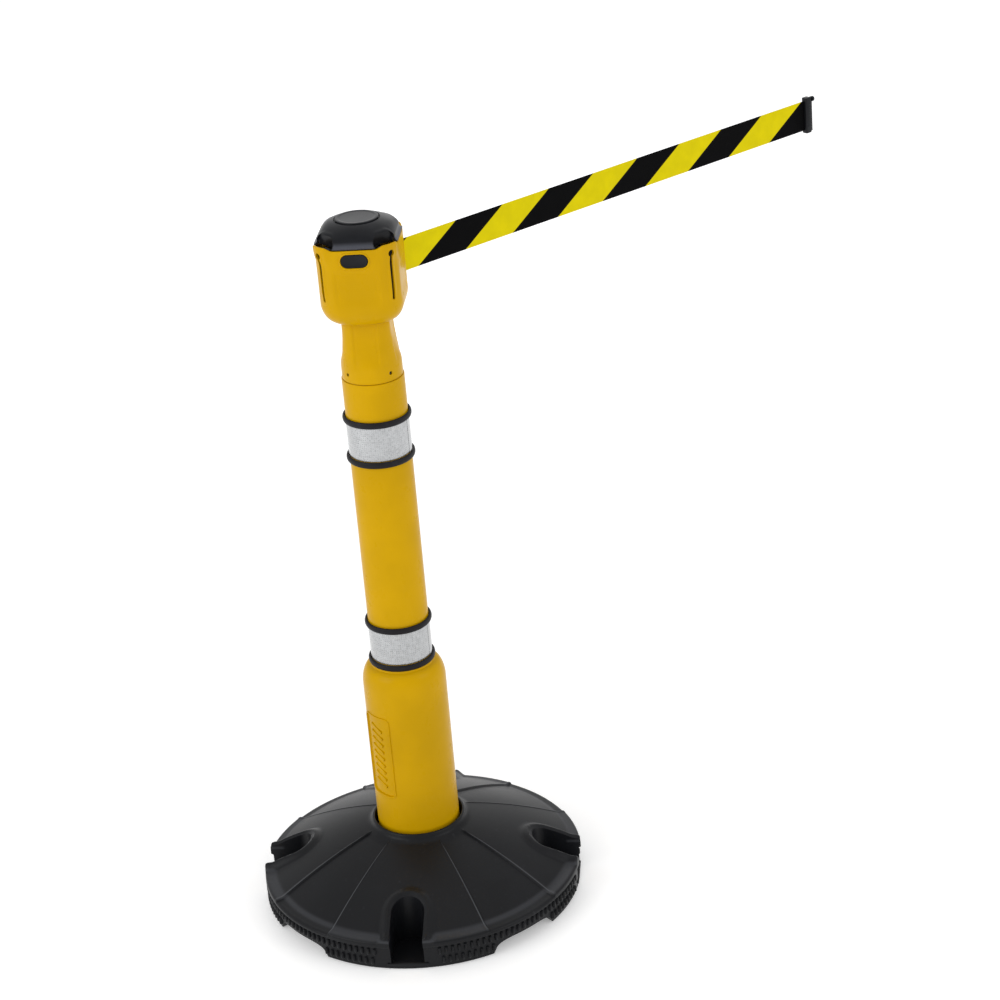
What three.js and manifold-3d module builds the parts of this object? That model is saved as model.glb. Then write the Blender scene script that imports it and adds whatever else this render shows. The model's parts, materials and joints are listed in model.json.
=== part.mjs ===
// Retractable-belt stanchion: a heavy moulded base, a plastic post with reflective
// bands, and a head that holds a spring reel of belt, drawn out along +X to its end clip.
// Millimetres, +Z up. The origin is on the floor under the post's axis.

import * as THREE from 'three';
import { mergeVertices } from 'three/addons/utils/BufferGeometryUtils.js';
import Module from 'manifold-3d';

const wasm = await Module();
wasm.setup();

// ---------------------------------------------------------------- driving dimensions
const clearance = 0.3; // gap kept between pieces that touch

const base = {
  radius: 256, // widest, a little above the floor
  footInset: 3, // the bottom edge stands in from the widest radius
  bandHeight: 49, // studded side band
  crownRun: 8.5, // from the collar's lip out to the top of the dome
  crownDrop: 11, // from the collar's lip down to the top of the dome
  height: 130, // top of the collar lip
  bulge: 5, // how far the dome stands above a straight cone
  floor: 12, // under the post's socket
  wall: 16,
  ribWidth: 12,
  collarWidth: 4,
  collarGap: 4.5, // open gap between the collar and the sleeve
  seatDepth: 35, // how deep the wide mouth goes before the close fit
  seatGap: 0.5, // radial, on the close fit
};
const notch = {
  width: 52,
  reach: 77, // from the base's widest radius in to the notch's round end
  floor: 8,
  rim: 12, // width of the raised surround
  rimHeight: 6,
  steps: 8, // facets round its end
};
const arch = { halfAngle: 13.75, height: 19, slope: 4 }; // shallow cut in the bottom edge
const creaseAngle = 15; // the dome's radial lines lie this far each side of an arch

const post = {
  sleeveRadius: 65,
  sleeveWall: 3.5,
  sleeveTop: 408.9,
  shoulderRadius: 30,
  shoulderLip: 3, // wall round the tube at the top of the shoulder
  tubeRadius: 47,
  tubeWall: 2.5,
  tubeTop: 884,
  footHeight: 12,
  spigotLength: 36,
};
const label = { width: 52, height: 137, middle: 260, corner: 8, depth: 1.2 };

const ring = { width: 5, height: 10 };
const reflector = { height: 53.4, thickness: 0.6, upperDrop: 122 }; // upperDrop: below the tube's top

const neck = {
  length: 93.7,
  inset: 1.5, // the neck's foot stands in from the tube
  halfWidth: 37.5, // rounded square under the head, middle to a flat face
  flat: 10.9, // half the length of a flat face
  wall: 4,
  plate: 6,
  couplerWall: 3.4,
  couplerDrop: 44, // below the seam
  couplerRise: 22,
  screwHeight: 13, // above the seam
};
const screw = { shank: 1.5, head: 2.6, headHeight: 2.4, length: 8.6 };
const pivot = { shank: 5, headRadius: 8.5, headHeight: 3.4, nutHeight: 6, washer: 1.5 };

const head = {
  halfWidth: 61.5, // middle to a flat face
  flat: 24.5, // half the length of a flat face
  wall: 3.2,
  floor: 6,
  bowlDepth: 34,
  rimRise: 8, // above the keyholes
  tabRise: 6, // small arch of rim over each slot
  tabWidth: 36,
};
const slot = {
  width: 4.6,
  drop: 5.5, // below the belt
  keyholeRise: 16, // above the belt
  keyholeRadius: 5,
  pocketWidth: 12.4,
  pocketDepth: 11,
  outerWall: 4.4,
  blockWall: 5,
};
const cap = { height: 30, inset: 1.4, wall: 3, notchWidth: 38, notchHeight: 16, notchDepth: 16 };
const badge = { radius: 32, thickness: 3 };

const beltWidth = 50;
const belt = { thickness: 1.2, drawn: 858 };
const reel = {
  axleRadius: 4,
  flangeShare: 0.644, // of the way out to the blocks behind the slots
  rollShare: 0.742, // of the flanges' radius
  hubShare: 0.49, // of the roll's radius
  flange: 2,
  edgeGap: 0.7, // between a flange and the belt's edge
  teeth: 24,
  toothDepth: 2.2,
};
const drum = { height: 23.9, wall: 2, washer: 1.5 };
const spring = { turns: 5, thickness: 0.9, innerRadius: 6, room: 3 };
const plate = { inset: 11.5, thickness: 3, ledge: 3, axleFoot: 2 };
const button = { width: 40, height: 20, rise: 8.05, proud: 1.5, lip: 2.2, gap: 0.35, travel: 3 };
const coil = { radius: 4, wire: 0.55, turns: 6 };
const web = { thickness: 2.5, height: 27, bite: 4 }; // bite: how far it runs into the blocks
const clip = { width: 12, overlap: 5, thickness: 11, blade: 3.4, head: 4.3, headLength: 5 };

// ---------------------------------------------------------------- derived sizes
const facets = { base: 48, large: 36, medium: 28, small: 10 }; // around round pieces
const quarterTurns = [0, 90, 180, 270];
const faceAngles = [45, 135, 225, 315];
const exitAngle = 0; // the belt leaves along +X
const buttonAngle = 225;

const sleeveBore = post.tubeRadius + clearance;
const shoulderTop = post.tubeRadius + post.shoulderLip;
const collarMouth = post.sleeveRadius + base.collarGap;
const collarLip = collarMouth + base.collarWidth;
const crownRadius = collarLip + base.crownRun;
const crownHeight = base.height - base.crownDrop;
const footRadius = base.radius - base.footInset;
const domeEdge = footRadius - 10;
const coreOuter = footRadius - base.wall;
const postFloor = base.floor + clearance;
const tubeInner = post.tubeRadius - post.tubeWall;

const cornerReach = ({ halfWidth, flat }) => flat * Math.SQRT2 + halfWidth - flat;
const headCorner = cornerReach(head);
const neckCorner = cornerReach(neck);
const neckRadius = post.tubeRadius - neck.inset;
const neckBottom = post.tubeTop + clearance;
const neckTop = neckBottom + neck.length;
const screwTip = neckRadius - 1.2 - screw.headHeight - screw.length;

// heights inside the head, from its underside up
const headBottom = neckTop + clearance;
const washerTop = head.floor + clearance + pivot.washer;
const boltTop = washerTop + clearance + pivot.headHeight;
const plateBottom = boltTop + 0.4 + plate.axleFoot;
const plateTop = plateBottom + plate.thickness;
const drumBottom = plateTop + 0.4;
const drumTop = drumBottom + drum.height;
const flangeLow = drumTop + drum.washer + 2 * clearance;
const beltBottom = flangeLow + reel.flange + reel.edgeGap;
const beltTop = beltBottom + beltWidth;
const flangeHigh = beltTop + reel.edgeGap;
const buttonMiddle = flangeHigh + button.rise;
const slotBottom = beltBottom - slot.drop;
const keyholeHeight = beltTop + slot.keyholeRise;
const rimHeight = keyholeHeight + head.rimRise;
const capBottom = rimHeight + 2;
const capTop = capBottom + cap.height;

// distances from the axis inside the head
const blockWidth = slot.pocketWidth + 2 * slot.blockWall;
const pocketOuter = headCorner - slot.outerWall;
const pocketInner = pocketOuter - slot.pocketDepth;
const blockInner = pocketInner - slot.blockWall;
const webDistance = (blockInner + web.bite) / Math.SQRT2;
const flangeRadius = blockInner * reel.flangeShare;
const rollRadius = flangeRadius * reel.rollShare;
const hubRadius = rollRadius * reel.hubShare;
const drumRadius = flangeRadius + 1;
const plateRadius = head.halfWidth - plate.inset;
const clipStart = headCorner + belt.drawn;
const plunger = {
  low: flangeHigh + reel.flange / 2 - 2.4,
  high: flangeHigh + reel.flange / 2 + 2.4,
  width: 9,
  tip: flangeRadius + 0.6 + button.travel,
};
const buttonBack = head.halfWidth - head.wall - clearance - button.lip;

// ---------------------------------------------------------------- materials
function plastic(color, roughness) {
  return new THREE.MeshStandardMaterial({ color, roughness, metalness: 0 });
}
function metal(color, roughness) {
  return new THREE.MeshStandardMaterial({ color, roughness, metalness: 1 });
}
const yellow = () => plastic(0xd7a50f, 0.42);
const blackRubber = () => plastic(0x26282b, 0.7);
const ringRubber = () => plastic(0x1c1b20, 0.55);
const glossBlack = () => plastic(0x303238, 0.3);
const silver = () => plastic(0xc9ccd2, 0.35);
const webbing = () => plastic(0xdeca0a, 0.6);
const innerPlastic = () => plastic(0x4a4d52, 0.5);
const steel = () => metal(0xb5b8bd, 0.35);

// ---------------------------------------------------------------- solids
const radians = THREE.MathUtils.degToRad;

// A closed geometry as a manifold solid, with its faces pointing out.
function solid(geometry) {
  const bare = geometry.index ? geometry.toNonIndexed() : geometry.clone();
  for (const name of Object.keys(bare.attributes)) {
    if (name !== 'position') bare.deleteAttribute(name);
  }
  const merged = mergeVertices(bare, 1e-3);
  const at = merged.attributes.position.array;
  const corners = [];
  let volume = 0;
  for (let i = 0; i < merged.index.count; i += 3) {
    const [a, b, c] = [merged.index.getX(i), merged.index.getX(i + 1), merged.index.getX(i + 2)];
    if (a === b || b === c || c === a) continue;
    corners.push(a, b, c);
    const [p, q, r] = [a, b, c].map((k) => new THREE.Vector3(...at.slice(3 * k, 3 * k + 3)));
    volume += p.dot(q.cross(r));
  }
  if (volume < 0) corners.reverse();
  return new wasm.Manifold(new wasm.Mesh({
    numProp: 3,
    vertProperties: new Float32Array(at),
    triVerts: new Uint32Array(corners),
  }));
}

// Moves a geometry: first along its own axes, then round Z by an angle in degrees.
function placed(geometry, x, y, z, turn = 0) {
  return geometry.translate(x, y, z).rotateZ(radians(turn));
}

// A solid of revolution about Z from [radius, height] points that close on themselves
// or start and end on the axis.
function turned(points, count = facets.large) {
  const onAxis = points[0][0] === 0 && points.at(-1)[0] === 0;
  const loop = onAxis ? points : [...points, points[0]];
  const profile = loop.map(([r, z]) => new THREE.Vector2(r, z));
  return new THREE.LatheGeometry(profile, count).rotateX(Math.PI / 2);
}

function disc(radius, low, high, count) {
  return turned([[0, low], [radius, low], [radius, high], [0, high]], count);
}

function hoop(inner, outer, low, high, count) {
  return turned([[inner, low], [outer, low], [outer, high], [inner, high]], count);
}

function block(x0, x1, y0, y1, z0, z1) {
  const box = new THREE.BoxGeometry(x1 - x0, y1 - y0, z1 - z0);
  return box.translate((x0 + x1) / 2, (y0 + y1) / 2, (z0 + z1) / 2);
}

// A flat shape pushed up from one height to another.
function prism(shape, low, high, curveSegments = 8) {
  const depth = high - low;
  return new THREE.ExtrudeGeometry(shape, { depth, bevelEnabled: false, curveSegments })
    .translate(0, 0, low);
}

// A rectangle with round corners, centred, in the shape's own plane.
function roundedRectangle(width, height, radius) {
  const [x, y] = [width / 2 - radius, height / 2 - radius];
  const shape = new THREE.Shape();
  shape.absarc(x, y, radius, 0, Math.PI / 2);
  shape.absarc(-x, y, radius, Math.PI / 2, Math.PI);
  shape.absarc(-x, -y, radius, Math.PI, Math.PI * 1.5);
  shape.absarc(x, -y, radius, Math.PI * 1.5, Math.PI * 2);
  return shape;
}

// A prism stood up so that it runs outwards along +X from one distance to another.
function outwardPrism(shape, near, far, height, curveSegments = 8) {
  return prism(shape, near, far, curveSegments)
    .rotateZ(Math.PI / 2)
    .rotateY(Math.PI / 2)
    .translate(0, 0, height);
}

function arcPoints(centreX, centreY, radiusX, radiusY, fromDegrees, toDegrees, steps) {
  return Array.from({ length: steps + 1 }, (_, i) => {
    const angle = radians(fromDegrees + (toDegrees - fromDegrees) * i / steps);
    return [centreX + radiusX * Math.cos(angle), centreY + radiusY * Math.sin(angle)];
  });
}

function joined(solids) {
  return solids.reduce((all, next) => all.add(next));
}

function around(angles, make) {
  return joined(angles.map((angle) => solid(make().rotateZ(radians(angle)))));
}

// Radius of a rounded square at an angle, its corners on the X and Y axes.
function squareRadius(angle, { halfWidth, flat }) {
  const fold = Math.abs(((angle + Math.PI / 4) % (Math.PI / 2) + Math.PI / 2) % (Math.PI / 2)
    - Math.PI / 4);
  const fromFace = Math.PI / 4 - fold;
  if (halfWidth * Math.tan(fromFace) <= flat) return halfWidth / Math.cos(fromFace);
  const cornerRadius = halfWidth - flat;
  const toCentre = flat * Math.SQRT2;
  const across = toCentre * Math.sin(fold);
  return toCentre * Math.cos(fold) + Math.sqrt(cornerRadius * cornerRadius - across * across);
}

// Turns a round lathe, drawn at its corner reach, into a rounded square. The share says
// how square it is at a radius and height, from 0 for round to 1.
function squaredOff(geometry, square, shareAt) {
  const at = geometry.attributes.position;
  for (let i = 0; i < at.count; i += 1) {
    const [x, y, z] = [at.getX(i), at.getY(i), at.getZ(i)];
    const share = THREE.MathUtils.clamp(shareAt(Math.hypot(x, y), z), 0, 1);
    const full = squareRadius(Math.atan2(y, x), square) / cornerReach(square);
    const scale = 1 + (full - 1) * share;
    at.setXY(i, x * scale, y * scale);
  }
  return geometry;
}

// The head's rounded square, which turns round towards the axis.
function headSquared(geometry, fade = neckCorner / 3) {
  return squaredOff(geometry, head, (radius) => (radius - fade) / (headCorner - fade));
}

// A named mesh from a solid or a geometry.
function piece(name, shape, material) {
  const body = shape instanceof THREE.BufferGeometry ? solid(shape) : shape;
  const found = body.getMesh();
  const geometry = new THREE.BufferGeometry();
  geometry.setAttribute('position', new THREE.BufferAttribute(found.vertProperties, 3));
  geometry.setIndex(new THREE.BufferAttribute(found.triVerts, 1));
  const flat = geometry.toNonIndexed();
  flat.computeVertexNormals();
  const mesh = new THREE.Mesh(flat, material);
  mesh.name = name;
  return mesh;
}

// ---------------------------------------------------------------- base
// The dome's height at a radius: a straight cone with a small bulge.
function domeHeight(radius) {
  const share = (domeEdge - radius) / (domeEdge - crownRadius);
  const straight = base.bandHeight + (crownHeight - base.bandHeight) * share;
  return straight + 4 * base.bulge * share * (1 - share);
}

// Points of the dome between two radii, raised or sunk by an amount.
function domePoints(from, to, raise, steps = 4) {
  return Array.from({ length: steps + 1 }, (_, i) => {
    const radius = from + (to - from) * i / steps;
    return [radius, domeHeight(radius) + raise];
  });
}

function notchOutline(grow) {
  const half = notch.width / 2 + grow;
  const centre = base.radius - notch.reach + notch.width / 2;
  const shape = new THREE.Shape();
  shape.moveTo(base.radius + 20, half);
  shape.lineTo(centre, half);
  shape.absarc(centre, 0, half, Math.PI / 2, Math.PI * 1.5);
  shape.lineTo(base.radius + 20, -half);
  return shape;
}

function makeBase() {
  const socket = post.sleeveRadius + base.seatGap;
  const shelf = base.height - base.seatDepth;
  const side = [
    [0, 0], [footRadius, 0], [base.radius, 0.65 * base.bandHeight],
    [base.radius - 4, base.bandHeight - 4], [domeEdge, base.bandHeight],
  ];
  const collar = [
    [collarLip + 4, base.height - 6], [collarLip, base.height - 1.2],
    [collarLip - 1.5, base.height], [collarMouth, base.height], [collarMouth, shelf + 4],
    [socket, shelf], [socket, base.floor], [0, base.floor],
  ];
  const dome = domePoints(domeEdge, crownRadius, 0).slice(1);
  let body = solid(turned([...side, ...dome, ...collar], facets.base));

  const rimTop = domePoints(domeEdge, crownRadius + 20, notch.rimHeight);
  const raised = solid(turned([
    [crownRadius + 20, base.floor], [base.radius - 1.5, base.floor],
    [base.radius - 1.5, base.bandHeight], ...rimTop,
  ], facets.base));
  const surround = around(faceAngles, () => (
    prism(notchOutline(notch.rim), base.floor, base.height, notch.steps)));
  body = body.add(surround.intersect(raised));
  body = body.subtract(
    around(faceAngles, () => prism(notchOutline(0), notch.floor, base.height + 20, notch.steps)),
  );

  // the underside is cored out between the hub, the band and the ribs
  const hub = collarMouth + base.wall;
  const core = [
    [hub, -1], [coreOuter, -1], [coreOuter, base.bandHeight - base.wall],
    ...domePoints(coreOuter - 6, hub, -base.wall, 3),
  ];
  let cores = solid(turned(core, facets.base));
  for (const angle of quarterTurns) {
    for (const side of [-creaseAngle, creaseAngle]) {
      const rib = block(hub - 10, base.radius, -base.ribWidth / 2, base.ribWidth / 2, -2, base.height);
      cores = cores.subtract(solid(placed(rib, 0, 0, 0, angle + side)));
    }
  }
  cores = cores.subtract(
    around(faceAngles, () => prism(notchOutline(base.ribWidth), -2, base.height, notch.steps)),
  );
  body = body.subtract(cores);

  // shallow arches raise the bottom edge between the feet
  const far = base.radius + 10;
  const halfWidth = base.radius * Math.sin(radians(arch.halfAngle));
  const profile = new THREE.Shape();
  profile.moveTo(-halfWidth, -1);
  profile.lineTo(halfWidth, -1);
  profile.lineTo(halfWidth - arch.slope, 4);
  profile.quadraticCurveTo(halfWidth * 0.75, arch.height, 0, arch.height);
  profile.quadraticCurveTo(-halfWidth * 0.75, arch.height, -halfWidth + arch.slope, 4);
  const cut = () => outwardPrism(profile, coreOuter - 30, far, 0, 6);
  return piece('base', body.subtract(around(quarterTurns, cut)), blackRubber());
}

// ---------------------------------------------------------------- post
function makeSleeve() {
  const top = post.sleeveTop;
  const outer = post.sleeveRadius;
  const inner = outer - post.sleeveWall;
  const rise = post.shoulderRadius;
  const run = outer - shoulderTop;
  const shoulder = arcPoints(outer - run, top - 5 - rise, run, rise, 0, 80, 4);
  const under = arcPoints(inner - run, top - 8 - rise, run, rise, 0, 80, 2).reverse();
  const profile = [
    [outer - 1.5, postFloor], [outer, postFloor + 1.5], ...shoulder,
    [shoulderTop, top - 4], [shoulderTop, top], [sleeveBore, top],
    [sleeveBore, top - 12], ...under, [inner, postFloor],
  ];
  const panel = outwardPrism(
    roundedRectangle(label.width, label.height, label.corner), outer - 12, outer + 5, label.middle, 3,
  );
  const skin = solid(hoop(outer - label.depth, outer + 6, label.middle - label.height,
    label.middle + label.height));
  const recess = solid(panel.rotateZ(Math.PI)).intersect(skin);
  return piece('lower_sleeve', solid(turned(profile)).subtract(recess), yellow());
}

function makePostFoot() {
  const outer = post.sleeveRadius - post.sleeveWall - clearance;
  const spigot = tubeInner - clearance;
  const top = postFloor + post.footHeight;
  return piece('post_foot', turned([
    [0, postFloor], [outer, postFloor], [outer, top], [spigot, top],
    [spigot, top + post.spigotLength], [spigot - 4, top + post.spigotLength],
    [spigot - 4, top - 4], [0, top - 4],
  ]), innerPlastic());
}

function makeTube() {
  const bottom = postFloor + post.footHeight + clearance;
  const tube = solid(hoop(tubeInner, post.tubeRadius, bottom, post.tubeTop, facets.medium));
  return piece('post_tube', tube, yellow());
}

// A band of reflective sheet between two rubber rings. Returns the three pieces.
function makeBandSet(order, start) {
  const inner = sleeveBore;
  const lowRing = start - clearance - ring.height;
  const highRing = start + reflector.height + clearance;
  const ringAt = (z) => {
    const outer = post.tubeRadius + ring.width;
    return turned([
      [inner, z], [outer - 1.5, z], [outer, z + ring.height * 0.3],
      [outer, z + ring.height * 0.7], [outer - 1.5, z + ring.height], [inner, z + ring.height],
    ], facets.medium);
  };
  const strip = hoop(inner, inner + reflector.thickness, start, start + reflector.height, facets.medium);
  return [
    piece(`rubber_ring_${order * 2 + 1}`, ringAt(lowRing), ringRubber()),
    piece(`rubber_ring_${order * 2 + 2}`, ringAt(highRing), ringRubber()),
    piece(`reflective_band_${order + 1}`, strip, silver()),
  ];
}

// A turned pin along +X with a pan head outwards, its tip at the given distance.
function radialScrew(tip, gap) {
  const { shank, head: headRadius, headHeight, length } = screw;
  const points = [
    [0, 0], [shank + gap, 0], [shank + gap, length], [headRadius + gap, length],
    [headRadius + gap, length + headHeight + 8 * gap], [0, length + headHeight + 8 * gap],
  ];
  return turned(points, facets.small).rotateY(Math.PI / 2)
    .translate(tip - gap, 0, neckBottom + neck.screwHeight);
}

function makeCoupler() {
  const low = tubeInner - clearance;
  const high = neckRadius - neck.wall - clearance - 1;
  const wall = neck.couplerWall;
  const ringSolid = solid(turned([
    [high - wall, post.tubeTop - neck.couplerDrop], [low, post.tubeTop - neck.couplerDrop],
    [low, post.tubeTop], [high, post.tubeTop], [high, post.tubeTop + neck.couplerRise],
    [high - wall, post.tubeTop + neck.couplerRise],
  ], facets.medium));
  const holes = around(quarterTurns, () => radialScrew(screwTip - 1, clearance));
  return piece('neck_coupler', ringSolid.subtract(holes), innerPlastic());
}

// Round where it meets the tube, a rounded square under the head.
function makeNeck() {
  const z0 = neckBottom;
  const z1 = neckTop;
  const bore = neckRadius - neck.wall - 1;
  const topBore = neckCorner - neck.wall - 2;
  const bolt = pivot.shank + clearance;
  const step = z0 + neck.couplerRise + 2;
  const shape = turned([
    [bore, z0], [neckRadius, z0], [neckRadius, z0 + 22], [neckRadius - 0.8, z0 + 38],
    [neckCorner + 1, z1 - 30], [neckCorner, z1 - 8], [neckCorner, z1], [bolt, z1],
    [bolt, z1 - neck.plate], [topBore, z1 - neck.plate], [topBore, step + 14], [bore, step],
  ]);
  const body = solid(squaredOff(shape, neck, (radius, z) => (
    Math.min((z - z0 - 22) / 40, (radius - bolt) / (topBore - bolt)))));
  const holes = around(quarterTurns, () => radialScrew(screwTip, clearance));
  return piece('neck', body.subtract(holes), yellow());
}

function makeNeckScrews() {
  return quarterTurns.map((angle, i) => piece(
    `neck_screw_${i + 1}`, radialScrew(screwTip, 0).rotateZ(radians(angle)), steel(),
  ));
}

// The bolt that the head turns on, with the washers and nut that keep it down.
function makePivot() {
  const top = headBottom + boltTop;
  const nutTop = neckTop - neck.plate - clearance;
  const boltBottom = nutTop - pivot.nutHeight - 4;
  const bolt = turned([
    [0, boltBottom], [pivot.shank, boltBottom], [pivot.shank, top - pivot.headHeight],
    [pivot.headRadius, top - pivot.headHeight], [pivot.headRadius, top], [0, top],
  ], facets.small);
  const washer = hoop(pivot.shank + clearance, pivot.headRadius + 5,
    headBottom + head.floor + clearance, headBottom + washerTop, facets.small);
  const hexagon = solid(disc(pivot.headRadius + 1, nutTop - pivot.nutHeight, nutTop, 6));
  const bore = solid(disc(pivot.shank + clearance, nutTop - pivot.nutHeight - 1, nutTop + 1,
    facets.small));
  const nut = hexagon.subtract(bore);
  return [
    piece('pivot_bolt', bolt, steel()),
    piece('pivot_washer', washer, steel()),
    piece('pivot_nut', nut, steel()),
  ];
}

// ---------------------------------------------------------------- head
function headOutside() {
  const bowl = arcPoints(neckCorner, head.bowlDepth, headCorner - neckCorner,
    head.bowlDepth, -90, 0, 4);
  return [[0, 0], ...bowl, [headCorner, rimHeight]];
}

// Space inside the wall of the head.
function headInside() {
  const { wall, floor, bowlDepth } = head;
  const reach = headCorner - neckCorner - wall;
  const bowl = arcPoints(neckCorner, bowlDepth, reach, bowlDepth - floor, -90, 0, 3);
  return [[0, floor], ...bowl, [headCorner - wall, rimHeight + 20], [0, rimHeight + 20]];
}

function makeHousing() {
  const outside = solid(headSquared(turned([...headOutside(), [0, rimHeight]])));
  const inside = solid(headSquared(turned(headInside())));
  let body = outside.subtract(inside);

  // rim tabs over the slots
  const tabRing = solid(headSquared(hoop(headCorner - head.wall, headCorner, rimHeight - 2,
    rimHeight + head.tabRise)));
  const tabShape = new THREE.Shape();
  tabShape.moveTo(-head.tabWidth / 2, -1);
  tabShape.lineTo(head.tabWidth / 2, -1);
  tabShape.quadraticCurveTo(head.tabWidth / 2 - 5, head.tabRise, 0, head.tabRise);
  tabShape.quadraticCurveTo(-head.tabWidth / 2 + 5, head.tabRise, -head.tabWidth / 2, -1);
  const tabs = around(quarterTurns, () => outwardPrism(tabShape, 40, headCorner + 5, rimHeight, 5));
  body = body.add(tabRing.intersect(tabs));

  // blocks behind the slots, and the web that carries the button's spring
  const blocks = around(quarterTurns, () => block(blockInner, headCorner, -blockWidth / 2,
    blockWidth / 2, slotBottom - slot.blockWall, rimHeight));
  const webBottom = buttonMiddle - web.height / 2;
  const webHalf = webDistance - 3;
  const bridge = solid(placed(block(webDistance, webDistance + web.thickness, -webHalf, webHalf,
    webBottom, webBottom + web.height), 0, 0, 0, buttonAngle));
  body = body.add(blocks.add(bridge).intersect(outside));

  // ledge that carries the cassette plate
  const ledge = solid(hoop(plateRadius - plate.ledge, headCorner, plateBottom - clearance - 3,
    plateBottom - clearance)).intersect(outside);
  body = body.add(ledge);

  const pocketTop = keyholeHeight + slot.keyholeRadius + 1;
  const key = () => outwardPrism(new THREE.Shape().absarc(0, 0, slot.keyholeRadius, 0, Math.PI * 2),
    pocketOuter - 2, headCorner + 5, keyholeHeight, 5);
  const cuts = [
    around(quarterTurns, () => block(pocketInner, pocketOuter, -slot.pocketWidth / 2,
      slot.pocketWidth / 2, slotBottom, pocketTop)),
    around(quarterTurns, () => block(pocketOuter - 2, headCorner + 5, -slot.width / 2,
      slot.width / 2, slotBottom, keyholeHeight)),
    around(quarterTurns, key),
    solid(placed(block(blockInner - 5, pocketInner + 1, -slot.pocketWidth / 2, slot.pocketWidth / 2,
      slotBottom, pocketTop), 0, 0, 0, exitAngle)),
    solid(disc(pivot.shank + clearance, -5, head.floor + 5, facets.small)),
  ];

  // the button's hole, its flange's room and the plunger's way through the web
  const hole = (grow) => roundedRectangle(button.width + grow, button.height + grow,
    (button.height + grow) / 2);
  cuts.push(solid(outwardPrism(hole(2 * button.gap), buttonBack - 6, headCorner + 5, buttonMiddle, 6)
    .rotateZ(radians(buttonAngle))));
  const way = block(webDistance - 5, webDistance + web.thickness + 5, -plunger.width / 2 - 0.4,
    plunger.width / 2 + 0.4, plunger.low - 0.4, plunger.high + 0.4);
  cuts.push(solid(placed(way, 0, 0, 0, buttonAngle)));
  return piece('head_housing', body.subtract(joined(cuts)), yellow());
}

function makeCap() {
  const edge = headCorner - cap.inset;
  const rise = cap.height - 12;
  const skirt = 12;
  const dome = arcPoints(badge.radius + 2, capBottom + skirt, edge - badge.radius - 2, rise - 2, 0, 90, 4);
  const seat = capTop - badge.thickness - clearance;
  const underDome = arcPoints(badge.radius + 2, capBottom + skirt, edge - cap.wall - badge.radius - 2,
    rise - 2 - cap.wall, 90, 0, 2);
  const axleTop = seat - 4;
  const bore = reel.axleRadius + clearance;
  const shell = solid(headSquared(turned([
    [bore, axleTop - 14], [9, axleTop - 14], [9, seat - 3.5 - clearance],
    [badge.radius, seat - 3.5 - clearance], ...underDome, [edge - cap.wall, capBottom],
    [edge, capBottom], ...dome, [badge.radius + clearance, capTop - 2],
    [badge.radius + clearance, seat], [bore, seat],
  ]), 34));
  // arched notches over the slots, each closed behind by a wall
  const shape = new THREE.Shape();
  const half = cap.notchWidth / 2;
  shape.moveTo(-half, -1);
  shape.lineTo(half, -1);
  shape.quadraticCurveTo(half - 2, cap.notchHeight, 0, cap.notchHeight);
  shape.quadraticCurveTo(-half + 2, cap.notchHeight, -half, -1);
  const near = edge - cap.notchDepth;
  const hood = new THREE.Shape();
  hood.moveTo(-half - 2, -0.01);
  hood.lineTo(half + 2, -0.01);
  hood.quadraticCurveTo(half, cap.notchHeight + 2.5, 0, cap.notchHeight + 2.5);
  hood.quadraticCurveTo(-half, cap.notchHeight + 2.5, -half - 2, -0.01);
  const outside = solid(headSquared(turned([
    [0, capBottom], [edge, capBottom], ...dome, [0, capTop - 2],
  ]), 34));
  const hoods = around(quarterTurns, () => outwardPrism(hood, near - 2, headCorner, capBottom, 5));
  const notches = around(quarterTurns, () => outwardPrism(shape, near, headCorner + 5, capBottom, 5));
  return piece('head_cap', shell.add(hoods.intersect(outside)).subtract(notches), glossBlack());
}

function makeBadge() {
  const low = capTop - badge.thickness;
  return [
    piece('cap_disc', turned([
      [0, low + 1.8], [5.5, low + 1.8], [5.5, low], [badge.radius, low],
      [badge.radius, capTop - 0.8], [badge.radius - 1.5, capTop], [badge.radius - 5, capTop],
      [badge.radius - 7, capTop - 0.5], [0, capTop - 0.5],
    ], facets.medium), glossBlack()),
  ];
}

// ---------------------------------------------------------------- reel
function makeAxle() {
  const top = capTop - badge.thickness - clearance - 0.5;
  const shaft = solid(disc(reel.axleRadius, plateBottom, top, facets.small));
  const foot = solid(disc(7, plateBottom - plate.axleFoot, plateBottom + 0.5, facets.small));
  return piece('reel_axle', shaft.add(foot), steel());
}

function makePlate() {
  const hole = reel.axleRadius + clearance;
  const ringSolid = solid(hoop(hole, plateRadius, plateBottom + 0.5 + clearance, plateTop, facets.medium));
  return piece('cassette_plate', ringSolid, steel());
}

function makeReel() {
  const bore = reel.axleRadius + 0.35;
  const core = solid(turned([
    [bore, flangeLow], [flangeRadius, flangeLow], [flangeRadius, flangeLow + reel.flange],
    [hubRadius, flangeLow + reel.flange], [hubRadius, flangeHigh],
    [flangeRadius, flangeHigh], [flangeRadius, flangeHigh + reel.flange],
    [bore, flangeHigh + reel.flange],
  ], facets.medium));
  const tooth = new THREE.Shape();
  const step = 2 * Math.PI / reel.teeth;
  const inner = flangeRadius - reel.toothDepth;
  tooth.moveTo(flangeRadius + 1, 0);
  tooth.lineTo(inner, 0);
  tooth.lineTo((flangeRadius + 1) * Math.cos(step * 0.7), (flangeRadius + 1) * Math.sin(step * 0.7));
  const turns = Array.from({ length: reel.teeth }, (_, i) => i * 360 / reel.teeth);
  const gaps = around(turns, () => prism(tooth, flangeHigh - 1, flangeHigh + reel.flange + 1));
  return piece('reel', core.subtract(gaps), innerPlastic());
}

function makeBeltRoll() {
  return piece('belt_roll', hoop(hubRadius + clearance, rollRadius, beltBottom, beltTop, facets.medium),
    webbing());
}

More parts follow.
